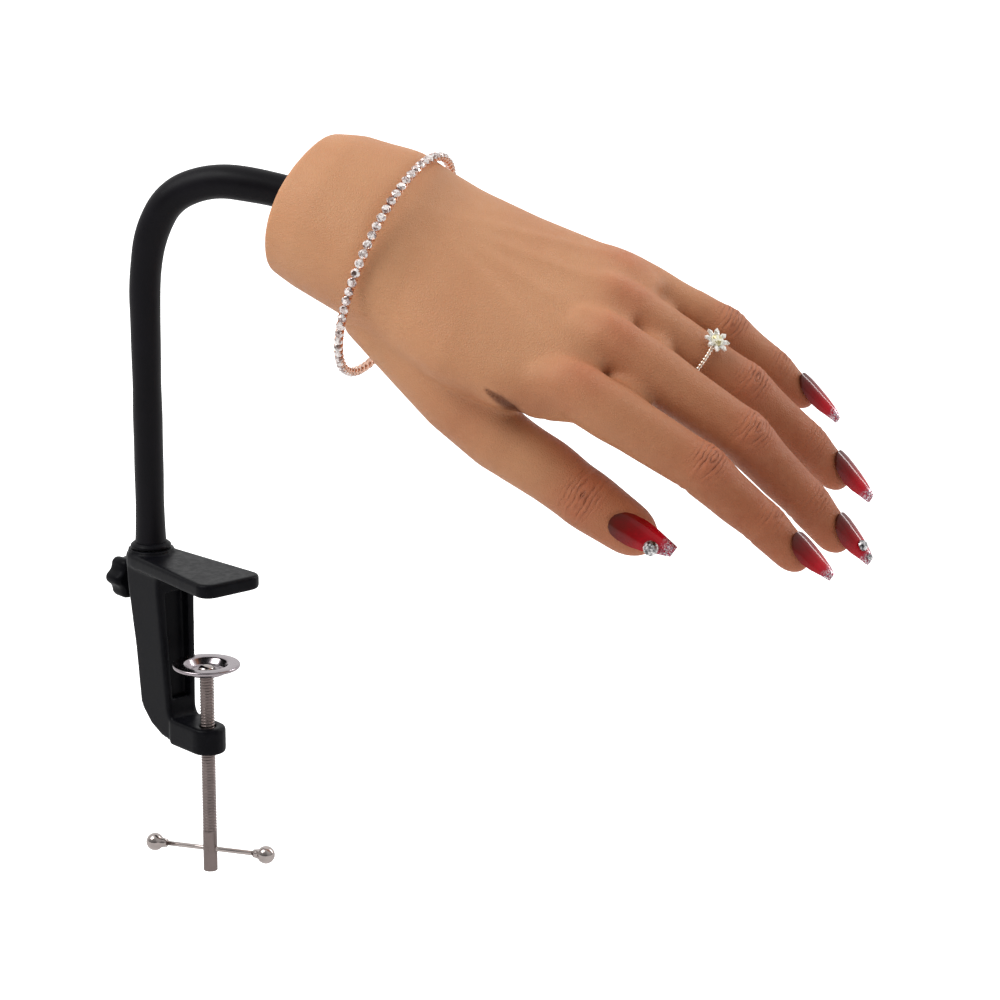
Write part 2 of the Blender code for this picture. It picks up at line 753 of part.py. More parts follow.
def root_frame(digit):
    """A finger's frame at its knuckle: X along the first phalanx, Y along the hinge."""
    spot = hand_frame() @ Matrix.Translation(in_palm(digit["knuckle_shares"]))
    if "turn" in digit:
        spread, bend, roll = digit["turn"]
        return spot @ turn("Z", spread) @ turn("Y", bend) @ turn("X", roll)
    return spot @ turn("Z", digit["spread"]) @ turn("Y", digit["bends"][0])


def digit_radii(digit):
    return [share * PALM_WIDTH for share in digit["radius_shares"]]


def knuckle_reach(digit):
    return PALM_WIDTH * (THUMB_REACH_SHARE if "turn" in digit else KNUCKLE_REACH_SHARE)


def digit_lengths(digit):
    return [share * FINGER_LENGTH for share in digit["length_shares"]]


def joint_frame(digit):
    """The finger's middle joint, or the thumb's end joint."""
    bend = digit["tip_bend"] if "turn" in digit else digit["bends"][1]
    return root_frame(digit) @ shift(digit_lengths(digit)[0]) @ turn("Y", bend)


def build_palm():
    """The palm, the wrist and the thumb's root run into each other as one soft skin."""
    hand = hand_frame()
    rings = []
    for number, shares in enumerate(PALM_SECTION_SHARES):
        half_width, half_height = shares[3] * PALM_WIDTH, shares[4] * PALM_THICKNESS
        place = hand @ Matrix.Translation(in_palm(shares))
        if number == 0:
            place = place @ turn("Z", STUB_YAW) @ turn("Y", STUB_TILT)
            rings.append(oval(place, half_width - STUB_ROUND, half_height - STUB_ROUND, 24, 0.9))
            rings.append(oval(place @ shift(STUB_ROUND), half_width, half_height, 24, 0.9))
        else:
            rings.append(oval(place, half_width, half_height, 24, 0.9))
    palm = loft("palm_skin", rings)
    masses = []
    for name, digit in {**FINGERS, "thumb": THUMB}.items():
        root = root_frame(digit)
        radii, reach = digit_radii(digit), knuckle_reach(digit)
        width = radii[0] * WAIST_SHARE
        tube = []
        if name == "thumb":
            for shares in THUMB_ROOT_SHARES:
                swell = shares[3] * PALM_WIDTH
                place = hand @ Matrix.Translation(in_palm(shares)) @ turn("Z", -20) @ turn("Y", 18)
                tube.append(oval(place, swell, swell, SIDES))
        else:
            tube.append(oval(root @ shift(-reach * 1.2), width, width * 0.8))
        tube.append(oval(root, radii[0], radii[0] * FLATNESS_SHARE))
        tube.append(oval(root @ shift(reach + OVERRUN), width, width * FLATNESS_SHARE))
        masses.append(loft(name + "_root", tube, collection="cutters"))
    for mass in masses:
        combine(palm, mass, "UNION")
    palm = to_mesh(palm, "palm_skin", "nail_practice_hand")
    grid = palm.modifiers.new("grid", "REMESH")
    grid.mode = "VOXEL"
    grid.voxel_size = SKIN_GRID
    smooth = palm.modifiers.new("smooth", "SMOOTH")
    smooth.factor = 0.5
    smooth.iterations = 5
    fewer = palm.modifiers.new("fewer", "DECIMATE")
    fewer.ratio = 0.2

    names = list(FINGERS)
    for number, name in enumerate(names):
        digit = FINGERS[name]
        root, reach = root_frame(digit), knuckle_reach(digit)
        inward = root.inverted()
        sides = [-PALM_WIDTH / 5, PALM_WIDTH / 5]
        for side, other in ((0, number - 1), (1, number + 1)):
            if 0 <= other < len(names):
                sides[side] = (inward @ root_frame(FINGERS[names[other]]).to_translation()).y / 2
        front = box(
            name + "_front",
            (reach * 0.3, sides[0] - GAP * 2, -PALM_THICKNESS),
            (reach + OVERRUN * 3, sides[1] + GAP * 2, PALM_THICKNESS),
            root,
        )
        combine(front, ball(name + "_ball", reach, root, sides=28))
        combine(palm, front)
    root, reach = root_frame(THUMB), knuckle_reach(THUMB)
    width = digit_radii(THUMB)[0] * WAIST_SHARE + GAP * 2
    flare = [oval(root @ shift(reach * 0.3), width, width), oval(root @ shift(reach * 2), width, width * 1.6)]
    front = loft("thumb_front", flare, collection="cutters")
    combine(front, ball("thumb_ball", reach, root @ turn("Y", 90), sides=28))
    weld = front.modifiers.new("weld", "WELD")
    weld.merge_threshold = GAP / 100
    combine(palm, front)
    for cavity in palm_cavities():
        combine(palm, cavity)
    add_axis("hand_twist", neck_frame(NECK_STRAIGHT + NECK_BEND), f"neck_bend_{len(neck_joints())}")
    part(palm, "hand_twist", "skin")


def swing_slot(name, place, reach, swing):
    """The slice that a link sweeps through its parent's skin, from the joint out to its rim."""
    half, far = LINK_HEIGHT / 2 + GAP, reach + OVERRUN
    low, high = swing
    corners = []
    for angle, side in ((low, 1), (high, -1)):
        rotated = turn("Y", angle)
        corners.append([rotated @ Vector((x, 0, side * half)) for x in (-half, far)])
    outer = [turn("Y", low + (high - low) * i / 6) @ Vector((far * 1.1, 0, 0)) for i in range(7)]
    outline = [corners[0][0], corners[0][1], *outer, corners[1][1], corners[1][0]]
    flat = place @ Matrix.Rotation(math.pi / 2, 4, "X")
    points = [(point.x, point.z) for point in outline]
    return plate(name, [points], LINK_THICKNESS + GAP * 2, flat, "cutters")


def armature_struts():
    """Name, knuckle frame and strut ends for each digit's prong."""
    hand = hand_frame()
    struts = []
    for name, digit in {**FINGERS, "thumb": THUMB}.items():
        across = digit["knuckle_shares"][1] * 0.8
        start = in_palm((0.30, -0.20, 0.04) if name == "thumb" else (0.62, across, 0.06))
        root = root_frame(digit)
        struts.append((name, root, hand @ start, root @ Vector((-FORK_LENGTH * 0.8, 0, 0))))
    return struts


def bar_between(name, start, end, half, past=0):
    """A square bar from one point to another, and past them both."""
    along = end - start
    place = Matrix.LocRotScale(start, along.to_track_quat("X", "Z"), None)
    return box(name, (-past, -half, -half), (along.length + past, half, half), place)


def plate_box(grow=0):
    low = in_palm((0.09, -0.26, 0.06))
    high = in_palm((0.66, 0.34, 0.06))
    thick = PLATE_THICKNESS / 2 + grow
    return (low.x - grow, low.y - grow, low.z - thick), (high.x + grow, high.y + grow, high.z + thick)


def fork(name, place, start, end):
    """Two cheeks either side of the next link's eye, joined behind it, with the pin through both."""
    half = FORK_WIDTH / 2
    made = box(name, (start, -half, -EYE_RADIUS), (end + EYE_RADIUS, half, EYE_RADIUS), place)
    slot_half = LINK_THICKNESS / 2 + GAP
    slot_low = (end - EYE_RADIUS - GAP * 2, -slot_half, -EYE_RADIUS - OVERRUN)
    slot_high = (end + EYE_RADIUS + OVERRUN, slot_half, EYE_RADIUS + OVERRUN)
    combine(made, box(name + "_slot", slot_low, slot_high, place))
    sideways = place @ shift(end) @ turn("Z", 90)
    return combine(made, rod(name + "_pin", PIN_RADIUS, -half * 0.9, half * 0.9, sideways, 10), "UNION")


def build_armature():
    """A plate in the palm with a forked prong and a pin for each digit."""
    low, high = plate_box()
    frame = box("armature_plate", low, high, hand_frame(), "nail_practice_hand")
    for name, root, start, end in armature_struts():
        combine(frame, fork(name + "_prong", root, -FORK_LENGTH, 0), "UNION")
        combine(frame, bar_between(name + "_strut", start, end, EYE_RADIUS * 0.8), "UNION")
    tongue = rod("tongue", CORE_RADIUS, SOCKET_DEPTH + GAP * 2, PALM_LENGTH * 0.58, socket_frame(), 10)
    combine(frame, tongue, "UNION")
    part(frame, "hand_twist", "steel")


def socket_frame():
    return neck_frame(NECK_STRAIGHT + NECK_BEND)


def palm_cavities():
    """The room in the palm for the plate, its prongs, the links' swing and the neck's socket."""
    low, high = plate_box(GAP)
    rooms = [box("plate_room", low, high, hand_frame())]
    half, tall = FORK_WIDTH / 2 + GAP, EYE_RADIUS + GAP
    for name, root, start, end in armature_struts():
        digit = THUMB if name == "thumb" else FINGERS[name]
        rooms.append(box(name + "_room", (-FORK_LENGTH - GAP, -half, -tall), (tall, half, tall), root))
        rooms.append(bar_between(name + "_strut_room", start, end, EYE_RADIUS * 0.8 + GAP, GAP))
        rest = digit["bends"][0] if name != "thumb" else 0
        swing = THUMB_SWING if name == "thumb" else (KNUCKLE_SWING[0] - rest, KNUCKLE_SWING[1] - rest)
        rooms.append(swing_slot(name + "_slot", root, knuckle_reach(digit), swing))
    socket = socket_frame()
    front = SOCKET_DEPTH + EDGE_ROUND * 2 + GAP
    rooms.append(rod("socket_room", SOCKET_RADIUS + GAP, -OVERRUN * 5, front, socket, 20))
    rooms.append(rod("tongue_room", CORE_RADIUS + GAP, 0, PALM_LENGTH * 0.58 + GAP, socket, 10))
    return rooms


def build_socket():
    """The plug in the wrist that the neck's end turns in."""
    place = socket_frame()
    front = SOCKET_DEPTH + EDGE_ROUND * 2
    socket = rod("wrist_socket", SOCKET_RADIUS, STUB_ROUND, front, place, 20, "nail_practice_hand")
    bore = NECK_END_RADIUS + GAP
    combine(socket, rod("neck_room", bore, -OVERRUN, SOCKET_DEPTH, place, 20))
    combine(socket, rod("tongue_hole", CORE_RADIUS + GAP, 0, front + OVERRUN, place, 10))
    part(socket, "hand_twist", "black_plastic")


def link_outline(length):
    """Eye, bar and pin hole of a link, as its outer line and its hole."""
    half = LINK_HEIGHT / 2
    start = math.degrees(math.asin(half / EYE_RADIUS))
    outer = arc(0, 0, EYE_RADIUS, start, 360 - start, 10)
    outer += [(length, -half), (length, half)]
    hole = arc(0, 0, PIN_RADIUS + GAP, 0, 360, 8)[:-1]
    return [outer, hole]


def build_link(name, place, length, forked, axis):
    side_on = place @ Matrix.Rotation(math.pi / 2, 4, "X")
    bar = length - FORK_LENGTH + PIN_RADIUS if forked else length
    link = plate(name, link_outline(bar), LINK_THICKNESS, side_on)
    if forked:
        combine(link, fork(name + "_fork", place, length - FORK_LENGTH, length), "UNION")
    part(link, axis, "steel")


def channel(name, place, start, end, half_width, half_height):
    return box(name, (start, -half_width, -half_height), (end, half_width, half_height), place)


def build_first_skin(name, digit):
    """From the knuckle's rim to the ball-shaped end round the next joint."""
    root, joint = root_frame(digit), joint_frame(digit)
    radii, lengths = digit_radii(digit), digit_lengths(digit)
    near, far = knuckle_reach(digit), radii[1] * JOINT_REACH_SHARE
    width = radii[0] * WAIST_SHARE
    flat = FLATNESS_SHARE
    bend = digit["tip_bend"] if name == "thumb" else digit["bends"][1]
    halfway = root @ shift(lengths[0]) @ turn("Y", bend / 2)
    waist = (radii[0] + radii[1]) / 2 * WAIST_SHARE
    rings = ball_end(root, near + JOINT_GAP, width, width * flat)
    rings.append(oval(root @ shift((near + lengths[0]) / 2), waist, waist * flat))
    rings.append(oval(halfway, radii[1], radii[1] * flat))
    rings += ball_end(joint, far, radii[1], radii[1] * flat)[::-1]
    skin = loft(f"{name}_skin_base", rings)
    thin, tall = LINK_THICKNESS / 2 + GAP, LINK_HEIGHT / 2 + GAP
    wide, high = FORK_WIDTH / 2 + GAP, EYE_RADIUS + GAP
    fork_start = lengths[0] - FORK_LENGTH - GAP
    combine(skin, channel(f"{name}_bar_room", root, near - OVERRUN, fork_start + GAP * 2, thin, tall))
    combine(skin, channel(f"{name}_fork_room", root, fork_start, lengths[0] + high, wide, high))
    if name == "thumb":
        swing = THUMB_SWING
    else:
        rest = digit["bends"][1]
        swing = (FINGER_SWING[0] - rest, FINGER_SWING[1] - rest)
    combine(skin, swing_slot(f"{name}_joint_slot", joint, far, swing))
    part(skin, f"{name}_knuckle", "skin")


def tip_frame(name, digit):
    """The last phalanx: its place, its length, and the radius at its near end."""
    lengths, radii = digit_lengths(digit), digit_radii(digit)
    if name == "thumb":
        return joint_frame(digit), lengths[1], radii[2]
    return joint_frame(digit) @ shift(lengths[1]) @ turn("Y", digit["bends"][2]), lengths[2], radii[2]


def tip_radius(radius, share):
    """The fingertip's radius at a share of its length: a slow taper, then a round end."""
    taper = radius * (1 - 0.26 * share)
    if share <= 0.7:
        return taper
    return taper * math.sqrt(max(1 - ((share - 0.7) / 0.3) ** 2, 0))


def build_tip_skin(name, digit):
    joint = joint_frame(digit)
    radii, lengths = digit_radii(digit), digit_lengths(digit)
    near, flat = radii[1] * JOINT_REACH_SHARE + JOINT_GAP, FLATNESS_SHARE
    tip, length, radius = tip_frame(name, digit)
    edge = radii[1] * 0.96
    rings = ball_end(joint, near, edge, edge * flat)
    if name == "thumb":
        stations = (0.5, 0.7, 0.85, 0.95)
    else:
        waist = (radii[1] + radii[2]) / 2 * WAIST_SHARE
        rings.append(oval(joint @ shift((near + lengths[1]) * 0.55), waist, waist * flat))
        back = tip @ turn("Y", -digit["bends"][2] / 2)
        rings.append(oval(back, radii[2], radii[2] * flat))
        stations = (0.35, 0.7, 0.85, 0.95)
    for share in stations:
        swell = tip_radius(radius, share)
        rings.append(oval(tip @ shift(share * length), swell, swell * flat))
    rings.append([tip @ Vector((length, 0, 0))])
    skin = loft(f"{name}_skin_tip", rings)
    thin, tall = LINK_THICKNESS / 2 + GAP, LINK_HEIGHT / 2 + GAP
    end = tip_link_length(name, digit) + GAP
    combine(skin, channel(f"{name}_tip_room", joint, near - OVERRUN, end, thin, tall))
    part(skin, f"{name}_joint", "skin")


def tip_link_length(name, digit):
    lengths = digit_lengths(digit)
    return lengths[1] * 0.68 if name == "thumb" else lengths[1] + lengths[2] * 0.3


def nail_floor(radius, share):
    """Height of the nail's underside over the phalanx, which runs on straight past the fingertip."""
    return radius * (1 - 0.26 * share) + JOINT_GAP


def build_nail(name, digit):
    """A long tapered nail, arched over the fingertip and straight past it."""
    tip, length, radius = tip_frame(name, digit)
    wide, free, lean = digit["nail_shares"]
    total = length * (1 - NAIL_ROOT_SHARE) + NAIL_FREE_LENGTH * free
    rings = []
    for number, width_share in enumerate(NAIL_WIDTH_SHARES):
        reached = number / (len(NAIL_WIDTH_SHARES) - 1)
        along = length * NAIL_ROOT_SHARE + total * reached
        under = nail_floor(radius, along / length)
        thick = NAIL_THICKNESS * (0.75 if number == 0 else 1)
        spread = math.asin(min(radius * width_share * wide / under, 0.95))
        aside = math.asin(lean * radius * (1.4 * reached - 0.4) / under)
        ring = []
        for depth, direction in ((0, 1), (thick, -1)):
            for i in range(7):
                angle = aside + spread * direction * (i / 3 - 1)
                swell = under + depth
                up = swell * math.cos(angle) * FLATNESS_SHARE
                ring.append(tip @ Vector((along, swell * math.sin(angle), up)))
        rings.append(ring)
    part(loft(f"{name}_nail", rings), f"{name}_joint", "gel")


def build_gem(name, digit, radius, share, side):
    """A cut stone on the nail's upper face."""
    tip, length, swell = tip_frame(name, digit)
    along = length + NAIL_FREE_LENGTH * share
    under = nail_floor(swell, along / length)
    top = (under + NAIL_THICKNESS) * FLATNESS_SHARE + GAP
    lift = tip @ Matrix.Translation((along, side * swell, 0)) @ turn("Y", -90)
    stone = turned(
        f"{name}_gem",
        [
            (0, top + radius * 0.9),
            (radius * 0.55, top + radius * 0.9),
            (radius, top + radius * 0.5),
            (radius * 0.45, top),
            (0, top),
        ],
        lift @ turn("Y", 90),
        8,
    )
    part(stone, f"{name}_joint", "gem")


def build_digits():
    for name, digit in {**FINGERS, "thumb": THUMB}.items():
        add_axis(f"{name}_knuckle", root_frame(digit), "hand_twist")
        add_axis(f"{name}_joint", joint_frame(digit), f"{name}_knuckle")
        build_first_skin(name, digit)
        build_tip_skin(name, digit)
        first = digit_lengths(digit)[0]
        build_link(f"{name}_link_base", root_frame(digit), first, True, f"{name}_knuckle")
        length = tip_link_length(name, digit)
        build_link(f"{name}_link_tip", joint_frame(digit), length, False, f"{name}_joint")
        build_nail(name, digit)
    build_gem("thumb", THUMB, THUMB_GEM_RADIUS, 0, -0.12)
    build_gem("middle", FINGERS["middle"], FINGER_GEM_RADIUS, 0.1, -0.05)


def ring_shape(name, radius, wire, place, around, across, collection="nail_practice_hand"):
    """A round band square to the local X axis."""
    rings = []
    for i in range(around):
        angle = FULL_TURN * i / around
        ring = []
        for j in range(across):
            round_angle = FULL_TURN * j / across
            out = radius + wire * math.cos(round_angle)
            point = Vector((wire * math.sin(round_angle), out * math.cos(angle), out * math.sin(angle)))
            ring.append(place @ point)
        rings.append(ring)
    return loft(name, rings, wrap=True, collection=collection)


def bracelet_drop(radius):
    """Height of the bracelet's centre in the palm's axes, when its top hangs on the wrist."""
    along, across = BRACELET_PLACE_SHARES
    for near, far in zip(PALM_SECTION_SHARES, PALM_SECTION_SHARES[1:]):
        if near[0] <= along <= far[0]:
            part_way = (along - near[0]) / (far[0] - near[0])
            section = [a + (b - a) * part_way for a, b in zip(near, far)]
    wrist = shift(0, section[1] * PALM_WIDTH, section[2] * PALM_THICKNESS)
    reach = radius - BRACELET_WIRE - JOINT_GAP
    heights = []
    for point in oval(wrist, section[3] * PALM_WIDTH, section[4] * PALM_THICKNESS, SIDES * 3, 0.9):
        aside = point.y - across * PALM_WIDTH
        if point.z > wrist.translation.z and abs(aside) < reach:
            heights.append(point.z - math.sqrt(reach**2 - aside**2))
    return max(heights)


def build_jewellery():
    hand = hand_frame()
    radius = BRACELET_RADIUS_SHARE * PALM_WIDTH
    along, across = BRACELET_PLACE_SHARES
    place = hand @ shift(along * PALM_LENGTH, across * PALM_WIDTH, bracelet_drop(radius))
    add_axis("bracelet_turn", place, "hand_twist")
    bracelet = ring_shape("tennis_bracelet", radius, BRACELET_WIRE, place, 40, 6)
    part(bracelet, "bracelet_turn", "rose_gold")

    digit = FINGERS["ring"]
    lengths, radii = digit_lengths(digit), digit_radii(digit)
    root = root_frame(digit)
    spot = root @ shift(lengths[0] * BAND_PLACE_SHARE)
    waist = (radii[0] + radii[1]) / 2 * WAIST_SHARE
    middle = (knuckle_reach(digit) / lengths[0] + 1) / 2
    toward = max((BAND_PLACE_SHARE - middle) / (1 - middle), 0)
    swell = waist + (radii[1] - waist) * toward
    radius = swell + GAP + BAND_WIRE
    band = ring_shape("flower_ring", radius, BAND_WIRE, spot, 18, 6)
    outline = []
    for i in range(FLOWER_PETALS * 4):
        angle = FULL_TURN * i / (FLOWER_PETALS * 4)
        reach = FLOWER_RADIUS * (0.84 + 0.16 * math.cos(FLOWER_PETALS * angle))
        outline.append((reach * math.cos(angle), reach * math.sin(angle)))
    seat = spot @ shift(z=radius + BAND_WIRE / 2 + FLOWER_HEIGHT / 2)
    petals = plate("petals", [outline], FLOWER_HEIGHT, seat, "cutters")
    centre = rod("centre", FLOWER_RADIUS * 0.5, 0, FLOWER_HEIGHT * 1.3, seat @ turn("Y", -90), 8, end_radius=FLOWER_RADIUS * 0.25)
    combine(band, petals, "UNION")
    combine(band, centre, "UNION")
    part(band, "ring_knuckle", "rose_gold")


def main():
    clear_scene()
    add_axis("clamp", Matrix())
    build_clamp()
    build_screw()
    build_knob()
    build_neck()
    build_palm()
    build_armature()
    build_socket()
    build_digits()
    build_jewellery()


main()
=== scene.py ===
import json
import math

import bmesh
import bpy
import numpy as np
from mathutils import Matrix, Vector
from mathutils.kdtree import KDTree


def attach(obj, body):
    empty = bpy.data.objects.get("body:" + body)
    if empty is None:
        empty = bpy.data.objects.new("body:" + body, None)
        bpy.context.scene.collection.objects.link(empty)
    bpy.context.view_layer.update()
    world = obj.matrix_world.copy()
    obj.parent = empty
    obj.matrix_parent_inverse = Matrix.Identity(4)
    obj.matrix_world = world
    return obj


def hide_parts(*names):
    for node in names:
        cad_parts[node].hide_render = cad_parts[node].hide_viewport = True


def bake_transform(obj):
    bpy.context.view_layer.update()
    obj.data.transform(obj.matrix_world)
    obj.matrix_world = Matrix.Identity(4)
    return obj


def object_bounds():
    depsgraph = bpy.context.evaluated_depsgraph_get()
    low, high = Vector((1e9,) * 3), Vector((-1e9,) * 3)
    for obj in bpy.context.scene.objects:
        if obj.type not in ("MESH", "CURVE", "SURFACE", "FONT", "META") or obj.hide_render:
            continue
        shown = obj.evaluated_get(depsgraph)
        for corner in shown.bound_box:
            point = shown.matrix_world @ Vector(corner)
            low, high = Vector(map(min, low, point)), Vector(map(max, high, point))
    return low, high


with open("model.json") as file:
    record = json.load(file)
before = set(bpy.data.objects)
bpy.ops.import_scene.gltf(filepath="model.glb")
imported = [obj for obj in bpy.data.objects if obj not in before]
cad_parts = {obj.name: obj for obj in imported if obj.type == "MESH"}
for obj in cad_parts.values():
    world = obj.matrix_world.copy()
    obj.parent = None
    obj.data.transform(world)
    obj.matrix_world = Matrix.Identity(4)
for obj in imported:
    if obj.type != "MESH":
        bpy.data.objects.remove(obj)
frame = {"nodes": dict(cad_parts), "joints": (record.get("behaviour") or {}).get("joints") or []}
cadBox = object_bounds()
nodes = frame["nodes"]
joints = {joint["name"]: joint for joint in frame["joints"]}
mm = 0.001

# small helpers

def shift(x=0, y=0, z=0):
    return Matrix.Translation((x, y, z))


def turn(axis, degrees):
    return Matrix.Rotation(math.radians(degrees), 4, axis)


def meshObject(name, bm, smooth=True, sharpAngle=None):
    # ends a bmesh as an object at the origin
    mesh = bpy.data.meshes.new(name)
    bm.to_mesh(mesh)
    bm.free()
    if smooth:
        mesh.shade_smooth()
    if sharpAngle:
        mesh.set_sharp_from_angle(angle=math.radians(sharpAngle))
    made = bpy.data.objects.new(name, mesh)
    bpy.context.scene.collection.objects.link(made)
    return made


def addModifier(piece, kind, **settings):
    made = piece.modifiers.new(kind.lower(), kind)
    for label, value in settings.items():
        setattr(made, label, value)


def applyModifiers(piece):
    graph = bpy.context.evaluated_depsgraph_get()
    mesh = bpy.data.meshes.new_from_object(piece.evaluated_get(graph))
    piece.modifiers.clear()
    old = piece.data
    piece.data = mesh
    bpy.data.meshes.remove(old)
    return piece


def circle(bm, sides, radius=1, matrix=Matrix()):
    # a loop of vertices, most often moved into place afterwards, and its edges in order
    verts = bmesh.ops.create_circle(bm, segments=sides, radius=radius, matrix=matrix)["verts"]
    return verts, list(dict.fromkeys(edge for vert in verts for edge in vert.link_edges))


def ring(bm, place, halfWidth, halfHeight, sides, squareness=1.0):
    # one loop of a loft, an oval in the place's YZ plane. Returns its edges
    verts, edges = circle(bm, sides)
    for number, vert in enumerate(verts):
        angle = 2 * math.pi * number / sides
        across, up = math.cos(angle), math.sin(angle)
        across = math.copysign(abs(across) ** squareness, across)
        up = math.copysign(abs(up) ** squareness, up)
        vert.co = place @ Vector((0, halfWidth * across, halfHeight * up))
    return edges


def joinLoops(bm, loops):
    # bridges the loops in a row and closes both ends
    for near, far in zip(loops, loops[1:]):
        bmesh.ops.bridge_loops(bm, edges=near + far)
    for end in (loops[0], loops[-1]):
        bmesh.ops.edgeloop_fill(bm, edges=end)


def outwardNormals(bm):
    bmesh.ops.recalc_face_normals(bm, faces=bm.faces)


def loftRings(bm, rings):
    joinLoops(bm, rings)
    outwardNormals(bm)


def cutFlat(bm, point, outward):
    # takes off what lies outside a plane and closes the cut
    cut = bmesh.ops.bisect_plane(bm, geom=bm.verts[:] + bm.edges[:] + bm.faces[:], plane_co=point,
                                 plane_no=outward, clear_outer=True)
    edges = [item for item in cut["geom_cut"] if isinstance(item, bmesh.types.BMEdge)]
    if edges:
        bmesh.ops.edgeloop_fill(bm, edges=edges)


def readMesh(items, field, width=3, kind=np.float32):
    # one field of a mesh's vertices, loops or faces
    values = np.empty(len(items) * width, kind)
    items.foreach_get(field, values)
    return values.reshape(-1, width) if width > 1 else values


def coordinates(mesh):
    return readMesh(mesh.vertices, "co").astype(float)


def vertexNormals(mesh):
    return readMesh(mesh.vertices, "normal").astype(float)


def setCoordinates(mesh, values):
    mesh.vertices.foreach_set("co", values.astype(np.float32).ravel())
    mesh.update()


def inFrame(points, place):
    # world points along a place's own three axes, in millimetres
    back = np.array(place.inverted())
    return ((points @ back[:3, :3].T + back[:3, 3]) / mm).T


def addAttribute(mesh, name, values):
    kind, field = ("FLOAT", "value") if values.ndim == 1 else ("FLOAT_VECTOR", "vector")
    mesh.attributes.new(name, kind, "POINT").data.foreach_set(field, values.astype(np.float32).ravel())


def finish(piece, body, material, replaced=()):
    piece.data.materials.clear()
    piece.data.materials.append(material)
    if body:
        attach(piece, body)
    if replaced:
        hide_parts(*replaced)


# node helpers for the materials

def feed(tree, node, **values):
    # gives a node's sockets, by name or by number (n0, n1), a value, a colour or another socket
    for name, value in values.items():
        socket = node.inputs[int(name[1:]) if name[1:].isdigit() else name.replace("_", " ")]
        if isinstance(value, bpy.types.NodeSocket):
            tree.links.new(value, socket)
        elif socket.type == "RGBA":
            socket.default_value = (*value, 1)
        else:
            socket.default_value = value
    return node


def addNode(tree, kind, **values):
    return feed(tree, tree.nodes.new("ShaderNode" + kind), **values)


def arithmetic(tree, operation, *values):
    made = addNode(tree, "Math", **{f"n{i}": value for i, value in enumerate(values)})
    made.operation = operation
    return made.outputs[0]


def times(tree, first, second):
    return arithmetic(tree, "MULTIPLY", first, second)


def plus(tree, first, second):
    return arithmetic(tree, "ADD", first, second)


def mixColors(tree, factor, first, second):
    made = tree.nodes.new("ShaderNodeMix")
    made.data_type = "RGBA"
    return feed(tree, made, n0=factor, n6=first, n7=second).outputs[2]


def rampValues(tree, factor, stops):
    made = addNode(tree, "ValToRGB", n0=factor)
    ramp = made.color_ramp
    while len(ramp.elements) < len(stops):
        ramp.elements.new(0.5)
    for element, (position, value) in zip(ramp.elements, stops):
        element.position = position
        element.color = (*value, 1) if isinstance(value, tuple) else (value, value, value, 1)
    return made.outputs[0]


def readAttribute(tree, name, output="Fac"):
    made = addNode(tree, "Attribute")
    made.attribute_name = name
    return made.outputs[output]


def objectPlace(tree):
    return addNode(tree, "TexCoord").outputs["Object"]


def startGroup(name, inputs, outputs):
    # a node group with numbers in and out
    group = bpy.data.node_groups.new(name, "ShaderNodeTree")
    for label, value in inputs.items():
        group.interface.new_socket(label, in_out="INPUT", socket_type="NodeSocketFloat").default_value = value
    for label in outputs:
        group.interface.new_socket(label, in_out="OUTPUT", socket_type="NodeSocketFloat")
    return group, group.nodes.new("NodeGroupInput"), group.nodes.new("NodeGroupOutput")


def placeGroup(tree, group, **values):
    made = tree.nodes.new("ShaderNodeGroup")
    made.node_tree = group
    return feed(tree, made, **values)


def startMaterial(name, **settings):
    material = bpy.data.materials.new(name)
    material.use_nodes = True
    tree = material.node_tree
    return material, tree, feed(tree, tree.nodes["Principled BSDF"], **settings)


def bumpNormal(tree, shader, height, strength, distance):
    feed(tree, shader, Normal=addNode(tree, "Bump", Strength=strength, Distance=distance, Height=height).outputs[0])


# camera, lights and floor

camera = {
    "azimuth": 50.0, "elevation": 15.0, "lens": 135.0, "sensor": 36.0, "clipEnd": 50.0,     # degrees, mm, metres
    "pixelsPerMm": 3.05, "frameSize": 1000, "aimRight": 295.3, "aimUp": 83.8,     # pixels
}
around, above = math.radians(camera["azimuth"]), math.radians(camera["elevation"])
viewRight = Vector((math.cos(around), math.sin(around), 0))
viewBack = Vector((math.sin(around) * math.cos(above), -math.cos(around) * math.cos(above), math.sin(above)))
viewUp = viewBack.cross(viewRight)
focalPixels = camera["lens"] / camera["sensor"] * camera["frameSize"]
aim = viewRight * camera["aimRight"] / camera["pixelsPerMm"] + viewUp * camera["aimUp"] / camera["pixelsPerMm"]
eye = (aim + viewBack * focalPixels / camera["pixelsPerMm"]) * mm
lensData = bpy.data.cameras.new("camera")
lensData.lens = camera["lens"]
lensData.sensor_width = camera["sensor"]
lensData.clip_end = camera["clipEnd"]
cameraObject = bpy.data.objects.new("camera", lensData)
cameraObject.matrix_world = Matrix.Translation(eye) @ Matrix((viewRight, viewUp, viewBack)).transposed().to_4x4()
bpy.context.scene.collection.objects.link(cameraObject)
bpy.context.scene.camera = cameraObject
bpy.context.scene.view_settings.view_transform = "Standard"

studio = {
    "middle": (0.08, 0.06, 0.05),     # metres
    "lamps": {     # place right, up and back of the middle, width, height, watts, and which way the height runs
        "key": ((-0.95, 1.0, 0.6), 0.9, 0.9, 13.5, None),
        "fill": ((1.0, 0.35, 1.1), 1.6, 1.6, 1.6, None),
        "strip": ((0.98, 0.62, -0.31), 0.13, 0.9, 3.9, (0.68, -0.69, -0.28)),
    },
    "skyStops": ((0.1, 0.16), (0.5, 0.42), (0.85, 0.95)), "skyRise": 0.75,     # from the front to the back
    "floorDrop": 0.004, "floorSize": 14.0, "floorGlow": 0.9, "floorTone": (0.82, 0.82, 0.82),
}


def fromView(start, right, up, back):
    return start + viewRight * right + viewUp * up + viewBack * back


